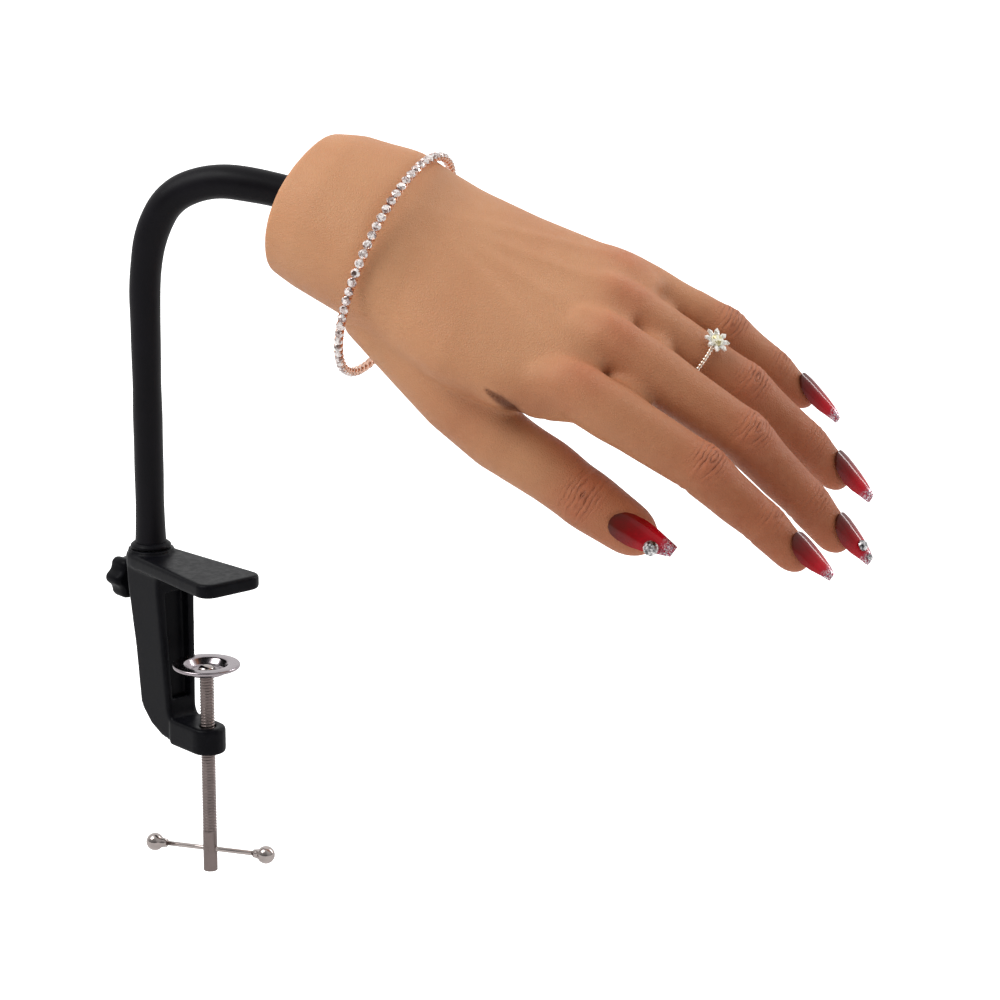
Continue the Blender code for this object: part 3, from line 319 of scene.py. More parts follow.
middle = Vector(studio["middle"])
for name, (offset, width, height, watts, along) in studio["lamps"].items():
    light = bpy.data.lights.new(name, "AREA")
    light.shape = "RECTANGLE"
    light.size, light.size_y, light.energy = width, height, watts
    lamp = bpy.data.objects.new(name, light)
    position = fromView(middle, *offset)
    back = (position - middle).normalized()
    side = (fromView(Vector(), *along) if along else Vector((0, 0, 1))).cross(back).normalized()
    turned = Matrix((side, back.cross(side), back)).transposed().to_4x4()
    lamp.matrix_world = Matrix.Translation(position) @ turned
    bpy.context.scene.collection.objects.link(lamp)

world = bpy.data.worlds.new("studio")
bpy.context.scene.world = world
world.use_nodes = True
skyTree = world.node_tree
skyFacing = addNode(skyTree, "VectorMath", n0=addNode(skyTree, "TexCoord").outputs["Generated"],
                    n1=Vector((-viewBack.x, -viewBack.y, studio["skyRise"])).normalized())
skyFacing.operation = "DOT_PRODUCT"
skySpread = addNode(skyTree, "MapRange", Value=skyFacing.outputs["Value"], From_Min=-1.0)
feed(skyTree, skyTree.nodes["Background"], Color=rampValues(skyTree, skySpread.outputs["Result"], studio["skyStops"]))

floorMesh = bmesh.new()
bmesh.ops.create_grid(floorMesh, x_segments=1, y_segments=1, size=studio["floorSize"] / 2,
                      matrix=shift(z=cadBox[0][2] - studio["floorDrop"]))
floor = meshObject("floor", floorMesh)
floorPaint, floorTree, floorShader = startMaterial(
    "floorPaint", Base_Color=studio["floorTone"], Roughness=0.9, Specular_IOR_Level=0.1, Emission_Color=(1, 1, 1))
# the floor stays white to the eye while it lights the object little
seenByCamera = addNode(floorTree, "LightPath").outputs["Is Camera Ray"]
feed(floorTree, floorShader, Emission_Strength=times(floorTree, seenByCamera, studio["floorGlow"]))
floor.data.materials.append(floorPaint)
print("studio ready")


# two scales of grain, for paint, rubber and moulded plastic
grainGroup, grainIn, grainOut = startGroup(
    "twoScaleGrain", {"Coarse Scale": 300.0, "Fine Scale": 1500.0, "Fine Share": 0.5}, ("Height", "Mottle"))
grainPlace = objectPlace(grainGroup)
coarseGrain = addNode(grainGroup, "TexNoise", Vector=grainPlace, Scale=grainIn.outputs["Coarse Scale"], Detail=3.0)
fineGrain = addNode(grainGroup, "TexNoise", Vector=grainPlace, Scale=grainIn.outputs["Fine Scale"], Detail=2.0)
fineHeight = times(grainGroup, fineGrain.outputs[0], grainIn.outputs["Fine Share"])
feed(grainGroup, grainOut, Height=plus(grainGroup, coarseGrain.outputs[0], fineHeight), Mottle=coarseGrain.outputs[0])

# long faint marks along one axis, for drawn or turned metal
scratchGroup, scratchIn, scratchOut = startGroup(
    "toolMarks", {"Across Scale": 2500.0, "Along Scale": 60.0}, ("Height",))
scratchParts = addNode(scratchGroup, "SeparateXYZ", Vector=objectPlace(scratchGroup))
scratchSpots = addNode(scratchGroup, "CombineXYZ", **{
    axis: times(scratchGroup, scratchParts.outputs[axis], scratchIn.outputs[label])
    for axis, label in (("X", "Along Scale"), ("Y", "Along Scale"), ("Z", "Across Scale"))})
scratchNoise = addNode(scratchGroup, "TexNoise", Vector=scratchSpots.outputs[0], Scale=1.0, Detail=2.0)
feed(scratchGroup, scratchOut, Height=scratchNoise.outputs[0])

paints = {     # colour, roughness, coarse and fine scale, share of the fine, strength of the bump, specular
    "clampPaint": ((0.003, 0.003, 0.0042), 0.34, 500.0, 2600.0, 0.7, 0.22, 0.07),
    "sleeveRubber": ((0.0035, 0.003, 0.0045), 0.42, 90.0, 2200.0, 0.8, 0.12, 0.12),
    "knobPlastic": ((0.0028, 0.0028, 0.0038), 0.36, 350.0, 1800.0, 0.6, 0.18, 0.05),
}
metals = {     # colour, roughness, marks across and along, strength and depth of the bump
    "screwSteel": ((0.24, 0.195, 0.185), 0.30, 2600.0, 90.0, 0.12, 0.00004),
    "polishedSteel": ((0.50, 0.44, 0.42), 0.13, 1400.0, 300.0, 0.05, 0.00003),
    "hiddenSteel": ((0.55, 0.54, 0.52), 0.35, 1800.0, 120.0, 0.15, 0.00004),
    "padSteel": ((0.40, 0.355, 0.375), 0.17, 900.0, 500.0, 0.10, 0.00004),
    "roseGold": ((0.86, 0.52, 0.38), 0.16, 3000.0, 400.0, 0.08, 0.00003),
    "bandMetal": ((0.92, 0.80, 0.68), 0.2, 3000.0, 400.0, 0.08, 0.00003),
}
wear = {"paintPale": 1.6, "paintBump": 0.0001, "metalDull": 0.82, "metalCoarse": 220.0, "metalFine": 1100.0,
        "metalFineShare": 0.4}


def paintedMaterial(name, color, roughness, coarse, fine, share, strength, specular):
    material, tree, shader = startMaterial(name, Specular_IOR_Level=specular)
    grain = placeGroup(tree, grainGroup, Coarse_Scale=coarse, Fine_Scale=fine, Fine_Share=share).outputs
    pale = tuple(min(value * wear["paintPale"], 1) for value in color)
    feed(tree, shader, Base_Color=rampValues(tree, grain["Mottle"], ((0.35, color), (0.7, pale))),
         Roughness=rampValues(tree, grain["Mottle"], ((0.3, roughness - 0.05), (0.7, roughness + 0.08))))
    bumpNormal(tree, shader, grain["Height"], strength, wear["paintBump"])
    return material


def metalMaterial(name, color, roughness, across, along, strength, distance):
    material, tree, shader = startMaterial(name, Metallic=1.0, Base_Color=color)
    marks = placeGroup(tree, scratchGroup, Across_Scale=across, Along_Scale=along)
    mottle = placeGroup(tree, grainGroup, Coarse_Scale=wear["metalCoarse"], Fine_Scale=wear["metalFine"],
                        Fine_Share=wear["metalFineShare"]).outputs["Mottle"]
    dull = tuple(value * wear["metalDull"] for value in color)
    feed(tree, shader, Base_Color=rampValues(tree, mottle, ((0.35, dull), (0.65, color))),
         Roughness=rampValues(tree, mottle, ((0.3, max(roughness - 0.06, 0.02)), (0.75, roughness + 0.1))))
    bumpNormal(tree, shader, marks.outputs["Height"], strength, distance)
    return material


clampPaint, sleeveRubber, knobPlastic = (paintedMaterial(name, *values) for name, values in paints.items())
screwSteel, polishedSteel, hiddenSteel, padSteel, roseGold, bandMetal = (
    metalMaterial(name, *values) for name, values in metals.items())

# nail gel: dark at the cuticle, clear red along the middle, silver glitter at the tip
gel = {
    "reds": ((0.0, (0.075, 0.012, 0.006)), (0.16, (0.13, 0.006, 0.004)), (0.38, (0.23, 0.001, 0.003)),
             (0.70, (0.50, 0.002, 0.012)), (1.0, (0.40, 0.02, 0.06))),     # from cuticle to tip
    "cloudScale": 420.0, "cloudShift": 0.16, "glitterScale": 3200.0, "glitterZone": ((0.76, 0.0), (0.90, 1.0)),
    "glitterTones": ((0.1, (0.20, 0.09, 0.13)), (0.5, (0.50, 0.36, 0.42)), (0.8, (0.95, 0.90, 0.94))),
    "glitterMetal": 0.75,
}
nailGel, gelTree, gelShader = startMaterial("nailGel", Roughness=0.3, Specular_IOR_Level=0.05, Coat_Weight=0.6,
                                            Coat_Roughness=0.04)
gelPlace = objectPlace(gelTree)
gelCloud = addNode(gelTree, "TexNoise", Vector=gelPlace, Scale=gel["cloudScale"], Detail=3.0)
gelShift = times(gelTree, arithmetic(gelTree, "SUBTRACT", gelCloud.outputs[0], 0.5), gel["cloudShift"])
gelAlong = plus(gelTree, readAttribute(gelTree, "reach"), gelShift)
glitterCells = addNode(gelTree, "TexVoronoi", Vector=gelPlace, Scale=gel["glitterScale"])
glitterHue = addNode(gelTree, "SeparateColor", Color=glitterCells.outputs["Color"])
glitterShare = times(gelTree, rampValues(gelTree, glitterHue.outputs[0], ((0.30, 0.0), (0.42, 1.0))),
                     rampValues(gelTree, gelAlong, gel["glitterZone"]))
feed(gelTree, gelShader, Metallic=times(gelTree, glitterShare, gel["glitterMetal"]),
     Base_Color=mixColors(gelTree, glitterShare, rampValues(gelTree, gelAlong, gel["reds"]),
                          rampValues(gelTree, glitterHue.outputs[1], gel["glitterTones"])))
bumpNormal(gelTree, gelShader, glitterCells.outputs["Distance"], 0.05, 0.00003)

# painted reflections: each stone's facets are painted dark, middle or bright
stoneFacetReflections = {     # dark, middle and bright facets, and where each begins
    "cutStone": ((0.22, 0.12, 0.10), (0.66, 0.54, 0.51), (0.99, 0.93, 0.90), (0.26, 0.44, 0.60)),
    "brightGem": ((0.03, 0.03, 0.035), (0.34, 0.33, 0.34), (0.98, 0.97, 0.96), (0.34, 0.56, 0.78)),
    "petalStone": ((0.60, 0.52, 0.40), (0.88, 0.83, 0.74), (0.99, 0.97, 0.92), (0.26, 0.44, 0.60)),
    "warmStone": ((0.42, 0.34, 0.12), (0.78, 0.70, 0.38), (0.98, 0.95, 0.78), (0.26, 0.44, 0.60)),
}
glint = {"scale": 1500.0, "facetShare": 0.6, "cellShare": 0.4}


def stoneMaterial(name, dark, middle, bright, places):
    # painted reflections: each facet has a brightness of its own, as a cut stone's facets reflect light and dark
    material, tree, shader = startMaterial(name, Specular_IOR_Level=0.9, Coat_Weight=1.0, Coat_Roughness=0.02)
    cells = addNode(tree, "TexVoronoi", Vector=objectPlace(tree), Scale=glint["scale"])
    hue = addNode(tree, "SeparateColor", Color=cells.outputs["Color"])
    mixed = plus(tree, times(tree, readAttribute(tree, "spark"), glint["facetShare"]),
                 times(tree, hue.outputs[0], glint["cellShare"]))
    feed(tree, shader, Base_Color=rampValues(tree, mixed, tuple(zip(places, (dark, middle, bright)))),
         Metallic=rampValues(tree, mixed, ((0.3, 0.75), (0.7, 0.15))),
         Roughness=rampValues(tree, hue.outputs[1], ((0.0, 0.03), (1.0, 0.12))))
    return material


stoneGlass, brightGem, petalStone, warmStone = (stoneMaterial(name, *values) for name, values in stoneFacetReflections.items())
print("metals and paints ready")


# skin

skin = {
    "pale": (0.62, 0.310, 0.158), "deep": (0.52, 0.225, 0.108), "blush": (0.50, 0.150, 0.072),
    # tan is a deeper skin tone and also painted shade under the palm, at the thumb's root and round the thumb's crease;
    # fold darkens the fold lines as painted shade; shade is painted shade in the thumb's crease
    "tan": (0.35, 0.106, 0.044), "fold": (0.17, 0.048, 0.022), "shade": (0.045, 0.007, 0.003),
    "roughness": 0.5, "roughSpread": 0.06, "softness": 0.08, "poreScale": 1150.0, "poreDepth": 0.0002,
    "poreStrength": 0.45, "creaseScale": 900.0, "creaseShare": 1.2,
    "foldPitch": 2.9, "foldDepth": 0.0007, "foldWobble": 4.2, "foldArch": 0.2, "foldSharpness": 0.6, "foldShadeShare": 0.45,
}
skinMaterial, skinTree, skinShader = startMaterial(
    "siliconeSkin", Specular_IOR_Level=0.27, Subsurface_Weight=skin["softness"], Subsurface_Scale=0.004,
    Subsurface_Radius=(1.0, 0.35, 0.18))
skinPlace = objectPlace(skinTree)


def skinNoise(scale, detail, roughness):
    return addNode(skinTree, "TexNoise", Vector=skinPlace, Scale=scale, Detail=detail, Roughness=roughness).outputs[0]


def skinMask(name, least):
    # a painted mark of the skin, its own tone or painted shade, broken up a little
    return times(skinTree, readAttribute(skinTree, name), rampValues(skinTree, fineTone, ((0.3, least), (0.7, 1.0))))


fineTone = skinNoise(260.0, 3.0, 0.6)
toneShare = rampValues(skinTree, skinNoise(28.0, 4.0, 0.55), ((0.35, 0.0), (0.68, 0.55)))
skinTone = mixColors(skinTree, toneShare, skin["pale"], skin["deep"])
# tan: deeper skin towards the fingertips, and painted shade on skin turned down, at the thumb's root and by the thumb's
# crease
skinTone = mixColors(skinTree, skinMask("tan", 0.85), skinTone, skin["tan"])
skinTone = mixColors(skinTree, skinMask("blush", 0.75), skinTone, skin["blush"])
# folds: arched waves over each joint, read from the distances along and across it; their dark lines are painted shade
# in the grooves, and they bump the skin too
foldParts = addNode(skinTree, "SeparateXYZ", Vector=readAttribute(skinTree, "fold", "Vector")).outputs
foldAcross = times(skinTree, foldParts["Y"], skin["foldArch"])
foldReach = arithmetic(skinTree, "SQRT", plus(skinTree, times(skinTree, foldParts["X"], foldParts["X"]),
                                              times(skinTree, foldAcross, foldAcross)))
foldPhase = plus(skinTree, times(skinTree, foldReach, 2 * math.pi / skin["foldPitch"]),
                 times(skinTree, skinNoise(190.0, 2.0, 0.55), skin["foldWobble"]))
foldWave = arithmetic(skinTree, "ABSOLUTE", arithmetic(skinTree, "SINE", foldPhase))
foldLine = arithmetic(skinTree, "SUBTRACT", 1.0, arithmetic(skinTree, "POWER", foldWave, skin["foldSharpness"]))
foldMask = times(skinTree, times(skinTree, foldLine, foldParts["Z"]),
                 rampValues(skinTree, fineTone, ((0.35, 0.35), (0.6, 1.0))))
skinTone = mixColors(skinTree, times(skinTree, foldMask, skin["foldShadeShare"]), skinTone, skin["fold"])
skinTone = mixColors(skinTree, readAttribute(skinTree, "shade"), skinTone, skin["shade"])
skinRough = rampValues(skinTree, fineTone, ((0.3, skin["roughness"] - skin["roughSpread"]),
                                            (0.7, skin["roughness"] + skin["roughSpread"])))
poreCells = addNode(skinTree, "TexVoronoi", Vector=skinPlace, Scale=skin["poreScale"])
poreCells.feature = "DISTANCE_TO_EDGE"
poreHeight = plus(skinTree, rampValues(skinTree, poreCells.outputs["Distance"], ((0.0, 0.0), (0.25, 1.0))),
                  times(skinTree, skinNoise(skin["creaseScale"], 3.0, 0.7), skin["creaseShare"]))
poreBump = addNode(skinTree, "Bump", Strength=skin["poreStrength"], Distance=skin["poreDepth"], Height=poreHeight)
foldBump = addNode(skinTree, "Bump", Strength=1.0, Distance=skin["foldDepth"], Height=times(skinTree, foldMask, -1.0),
                   Normal=poreBump.outputs[0])
feed(skinTree, skinShader, Base_Color=skinTone, Roughness=skinRough, Normal=foldBump.outputs[0])


# hand

handShape = {
    "heading": 29.5, "pitch": 19.6, "roll": 29.2,           # degrees
    "length": 86 * mm, "width": 80 * mm, "thickness": 30 * mm, "fingerLength": 99 * mm,
    "entryShares": (-0.341, 0.035, 0.09), "stubYaw": -3.2, "stubTilt": -4.9, "stubRound": 2.2 * mm,
    "socketHole": 8.7 * mm, "socketDepth": 21 * mm,
    "voxel": 0.8 * mm, "sides": 48, "fingerSides": 36,
    "fingerEnd": (0.24, 0.66), "thumbEnd": (0.20, 0.6),     # taper, and where the end begins to round
    # place (length, width, thickness) and half width, half thickness
    "palmShares": (
        (-0.341, 0.025, 0.056, 0.316, 0.74), (-0.233, 0.028, 0.085, 0.350, 0.78),
        (0.000, 0.031, 0.067, 0.388, 0.78), (0.233, 0.019, -0.035, 0.425, 0.65),
        (0.465, -0.006, -0.050, 0.470, 0.55), (0.698, 0.012, -0.080, 0.482, 0.50),
        (0.872, 0.038, -0.080, 0.473, 0.46), (1.000, 0.050, -0.100, 0.420, 0.40)),
    # mm: the fold between thumb and palm, its half width at its start and what each part of it adds
    "crease": ((57.6, -37.1, -0.1), (62.6, -36.9, -2.0), (66.2, -36.0, -4.9), (67.2, -34.2, -8.0)),
    "creaseWidths": (0.2, 0.8), "jointMiss": 0.05 * mm, "rootSkin": 20 * mm, "thumbRootSkin": 13 * mm,
    "thumbRootShares": (
        (0.093, -0.138, -0.300, 0.212), (0.349, -0.238, -0.533, 0.194), (0.535, -0.325, -0.700, 0.169)),
}
web = {
    "ahead": (10 * mm, 0, -4.5 * mm), "ball": (9 * mm, 6.5 * mm, 6 * mm),     # between two fingers
    "thumbPlace": (0.52, -0.30, -0.30), "thumbBall": (22 * mm, 9 * mm, 9 * mm), "thumbTurn": -12, "thumbTilt": 6,
}
digits = {     # split: where a finger's base skin ends, tall: its knuckle's height in mm
    "index": {"knuckle": (0.977, -0.300, 0.067), "spread": 0.1, "bends": (12.0, 13.8, 5.4),
              "lengths": (0.444, 0.263, 0.202), "radii": (0.120, 0.107, 0.091), "split": 0.62, "tall": 1.1},
    "middle": {"knuckle": (1.000, -0.037, 0.167), "spread": 1.2, "bends": (17.6, 16.3, 4.4),
               "lengths": (0.485, 0.303, 0.212), "radii": (0.120, 0.109, 0.093), "split": 0.6, "tall": 1.2},
    "ring": {"knuckle": (0.930, 0.200, 0.100), "spread": 6.1, "bends": (20.9, 11.3, 5.7),
             "lengths": (0.455, 0.283, 0.212), "radii": (0.112, 0.103, 0.089), "split": 0.64, "tall": 0.8},
    "pinky": {"knuckle": (0.837, 0.405, -0.033), "spread": 7.8, "bends": (13.0, 17.6, 5.0),
              "lengths": (0.364, 0.212, 0.192), "radii": (0.097, 0.085, 0.077), "split": 0.62, "tall": 0.7},
    "thumb": {"knuckle": (0.724, -0.404, -0.800), "turn": (-0.7, 15.5, 38.0), "bends": (0, -7.0, 0),
              "lengths": (0.340, 0.272), "radii": (0.136, 0.122, 0.119), "split": 0.55},
}
fingerNames = ("index", "middle", "ring", "pinky")


def inPalm(shares):
    sizes = (handShape["length"], handShape["width"], handShape["thickness"])
    return Vector([share * size for share, size in zip(shares, sizes)])


handTurn = turn("Z", handShape["heading"]) @ turn("Y", handShape["pitch"]) @ turn("X", handShape["roll"])
entryPoint = Vector(joints["hand_twist"]["pos_m"])
handPlace = Matrix.Translation(entryPoint - handTurn @ inPalm(handShape["entryShares"])) @ handTurn
for name, digit in digits.items():
    place = handPlace @ Matrix.Translation(inPalm(digit["knuckle"]))
    if "turn" in digit:
        spread, bend, roll = digit["turn"]
        place = place @ turn("Z", spread) @ turn("Y", bend) @ turn("X", roll)
    else:
        place = place @ turn("Z", digit["spread"]) @ turn("Y", digit["bends"][0])
    digit["root"] = place
    digit["long"] = [share * handShape["fingerLength"] for share in digit["lengths"]]
    digit["thick"] = [share * handShape["width"] for share in digit["radii"]]
    digit["joint"] = place @ shift(digit["long"][0]) @ turn("Y", digit["bends"][1])
    if name == "thumb":
        digit["tip"] = digit["joint"]
        digit["tipLong"] = digit["long"][1]
    else:
        digit["tip"] = digit["joint"] @ shift(digit["long"][1]) @ turn("Y", digit["bends"][2])
        digit["tipLong"] = digit["long"][2]
    miss = (place.to_translation() - Vector(joints[name + "_knuckle"]["pos_m"])).length
    if miss > handShape["jointMiss"]:
        raise ValueError(f"{name} is {miss / mm:.2f} mm from its joint")


def tipSwell(share, taper, roundFrom):
    # fingertip's width over its length: a slow taper and a round end
    swell = 1 - taper * share
    if share > roundFrom:
        swell *= math.sqrt(max(1 - ((share - roundFrom) / (1 - roundFrom)) ** 2, 0))
    return swell


def addFinger(bm, digit):
    root, joint, tip = digit["root"], digit["joint"], digit["tip"]
    first, second = digit["long"][0], digit["long"][1]
    big, mid, small = digit["thick"]
    sides = handShape["fingerSides"]
    halfBend = root @ shift(first) @ turn("Y", digit["bends"][1] / 2)
    endBend = joint @ shift(second) @ turn("Y", digit["bends"][2] / 2)
    waist = (big + mid) / 2
    slim = (mid + small) / 2
    stations = [
        (root @ shift(-0.22 * handShape["width"], 0, -0.03 * handShape["width"]), big * 0.85, big * 0.55),
        (root @ shift(-0.10 * handShape["width"]), big * 0.92, big * 0.80),
        (root, big * 0.98, big * 0.92),
        (root @ shift(first * 0.25), big * 0.99, big * 0.97),
        (root @ shift(first * 0.48), waist * 0.97, waist * 0.94),
        (root @ shift(first * 0.72), waist * 0.945, waist * 0.91),
        (root @ shift(first * 0.88), mid * 0.985, mid * 0.93),
        (halfBend, mid * 1.01, mid * 0.95),
        (joint @ shift(second * 0.16), mid * 0.985, mid * 0.93),
        (joint @ shift(second * 0.38, 0, -0.3 * mm), slim * 0.985, slim * 0.95),
        (joint @ shift(second * 0.62, 0, -0.3 * mm), slim * 0.955, slim * 0.92),
        (joint @ shift(second * 0.86), small * 0.99, small * 0.92),
        (endBend, small * 1.0, small * 0.92),
        (tip @ shift(digit["tipLong"] * 0.18), small * 0.97, small * 0.90),
    ]
    for share in (0.36, 0.52, 0.66, 0.76, 0.84, 0.91, 0.96, 0.99):
        swell = small * tipSwell(share, *handShape["fingerEnd"])
        stations.append((tip @ shift(digit["tipLong"] * share, 0, -0.5 * mm * share), swell, swell * 0.92))
    loftRings(bm, [ring(bm, *station, sides) for station in stations])


def addThumb(bm, digit):
    root, joint = digit["root"], digit["joint"]
    first, last = digit["long"]
    big, mid, small = digit["thick"]
    sides = handShape["fingerSides"]
    stations = []
    for x, y, z, swell in handShape["thumbRootShares"]:
        place = handPlace @ Matrix.Translation(inPalm((x, y, z))) @ turn("Z", -20) @ turn("Y", 18)
        stations.append((place, swell * handShape["width"], swell * handShape["width"]))
    stations += [
        (root, big, big * 0.97),
        (root @ shift(first * 0.30), (big + mid) * 0.49, (big + mid) * 0.48),
        (root @ shift(first * 0.60), (big + mid) * 0.46, (big + mid) * 0.445),
        (root @ shift(first * 0.84), mid * 0.97, mid * 0.92),
        (root @ shift(first) @ turn("Y", digit["bends"][1] / 2), mid * 1.0, mid * 0.94),
        (joint @ shift(last * 0.14), mid * 0.985, mid * 0.92),
        (joint @ shift(last * 0.28, 0, -0.2 * mm), mid * 0.95, mid * 0.90),
    ]
    for share in (0.42, 0.56, 0.68, 0.78, 0.86, 0.92, 0.965, 0.99):
        swell = mid * tipSwell(share, *handShape["thumbEnd"])
        stations.append((joint @ shift(last * share, 0, -0.5 * mm * share), swell, swell * 0.92))
    loftRings(bm, [ring(bm, *station, sides) for station in stations])


def addPalm(bm):
    sides = handShape["sides"]
    hole, deep, rounded = handShape["socketHole"], handShape["socketDepth"], handShape["stubRound"]
    neckAxis = Vector(joints["hand_twist"]["axis"])
    neckPlace = Matrix.Translation(entryPoint) @ neckAxis.to_track_quat("X", "Z").to_matrix().to_4x4()
    rings = []
    for number, (x, y, z, across, up) in enumerate(handShape["palmShares"]):
        halfWidth, halfHeight = across * handShape["width"], up * handShape["thickness"]
        place = handPlace @ Matrix.Translation(inPalm((x, y, z)))
        if number == 0:
            place = place @ turn("Z", handShape["stubYaw"]) @ turn("Y", handShape["stubTilt"])
            inner = place.inverted() @ neckPlace
            holePlace = place @ Matrix.Translation((0, inner.translation.y, inner.translation.z))
            deepPlace = Matrix.Translation(neckPlace @ Vector((deep, 0, 0))) @ place.to_3x3().to_4x4()
            rings.append(ring(bm, deepPlace, hole, hole, sides))
            rings.append(ring(bm, holePlace @ shift(rounded * 0.3), hole, hole, sides))
            rings.append(ring(bm, holePlace, hole * 1.08, hole * 1.08, sides))
            for angle in (0, 30, 60, 90):
                out, along = math.sin(math.radians(angle)), 1 - math.cos(math.radians(angle))
                less = rounded * (1 - out)
                rings.append(ring(bm, place @ shift(rounded * along), halfWidth - less, halfHeight - less, sides, 0.9))
        else:
            rings.append(ring(bm, place, halfWidth, halfHeight, sides, 0.9))
    loftRings(bm, rings)


def addBall(bm, point, radii, turnBy):
    bmesh.ops.create_uvsphere(bm, u_segments=20, v_segments=12, radius=1,
                              matrix=Matrix.Translation(point) @ turnBy @ Matrix.Diagonal((*radii, 1)))


def bell(value, width):
    return np.exp(-(value / width) ** 2)


def handMesh():
    # the whole hand as one closed skin, before its folds
    bm = bmesh.new()
    addPalm(bm)
    for name in fingerNames:
        addFinger(bm, digits[name])
    addThumb(bm, digits["thumb"])
    for first, second in zip(fingerNames, fingerNames[1:]):
        halfway = (digits[first]["root"].to_translation() + digits[second]["root"].to_translation()) / 2
        addBall(bm, halfway + handTurn @ Vector(web["ahead"]), web["ball"], handTurn)
    addBall(bm, handPlace @ inPalm(web["thumbPlace"]), web["thumbBall"],
            handTurn @ turn("Z", web["thumbTurn"]) @ turn("Y", web["thumbTilt"]))
    hand = meshObject("hand", bm)
    addModifier(hand, "REMESH", mode="VOXEL", voxel_size=handShape["voxel"])
    applyModifiers(hand)
    points = coordinates(hand.data)
    x, y, z = inFrame(points, handPlace)
    # the webs and the thumb's root are smoothed most, the fingers and the cut end least
    soft = np.maximum(0.9 * bell(x - 94, 14), bell(x - 52, 22) * bell(y + 30, 14) * bell(z + 10, 14))
    soft = np.maximum(soft, np.where((x > -24) & (x < 84), 0.7, 0.0))
    soft[x < -27] = 0.0
    for name in fingerNames:
        soft[inFrame(points, digits[name]["root"])[0] > 24] = 0.12
    u, v, w = inFrame(points, digits["thumb"]["root"])
    soft[(u > 8) & (np.hypot(v, w) < 20)] = 0.12
    soft = np.round(soft, 2)
    group = hand.vertex_groups.new(name="soft")
    for level in np.unique(soft):
        group.add([int(i) for i in np.nonzero(soft == level)[0]], float(level), "REPLACE")
    addModifier(hand, "SMOOTH", factor=0.5, iterations=4)
    addModifier(hand, "SMOOTH", factor=0.5, iterations=60, vertex_group="soft")
    return applyModifiers(hand)


def webCrease(x, y, z):
    # distance from the fold between thumb and palm, in widths of the fold, which opens towards the web
    points = np.stack([x, y, z], 1)
    nearest = np.full(len(points), 99.0)
    start, grown = handShape["creaseWidths"]
    path = [np.array(spot) for spot in handShape["crease"]]
    for number, (near, far) in enumerate(zip(path, path[1:])):
        along = np.clip((points - near) @ (far - near) / ((far - near) @ (far - near)), 0, 1)
        away = np.linalg.norm(points - near - along[:, None] * (far - near), axis=1)
        nearest = np.minimum(nearest, away / (start + grown * (number + along)))
    return nearest


def overJoints(points, tipSize, wide, reach):
    # for each joint of the digits: its share of the folds, the points along, across and over it, and which are near
    for name, digit in digits.items():
        places = [(digit["joint"], digit["thick"][1] / mm, 1.0)]
        if name != "thumb":
            places.append((digit["tip"], digit["thick"][2] / mm, tipSize))
        for place, width, size in places:
            u, v, w = inFrame(points, place)
            yield size, u, v, w / width, (np.hypot(v, w) < width * wide) & (abs(u) < reach)


relief = {     # mm: each one's height, then how far it reaches along and across
    "knuckle": (7.5, 6.5), "tendon": 0.45, "tendonReach": (2.2, 1.4), "hollow": (0.9, 9, 4), "wristBone": (1.2, 9, 8),
    "crease": 1.8, "palmLine": (0.7, 1.3), "dome": (0.35, 5.5), "fold": (0.2, 4.8), "foldPitch": 3.1,
    "underFolds": ((0.55, 0.6, 0.9), (0.3, -2.2, 0.8)),     # height, place along the finger, reach
    # start, end and sag of the palm's lines
    "palmLines": (((76, -32), (62, 22), 8), ((60, -34), (24, 18), 12), ((66, -20), (6, -8), -14)),
    "facing": 1.6,     # how soon a form fades on skin that turns away
}


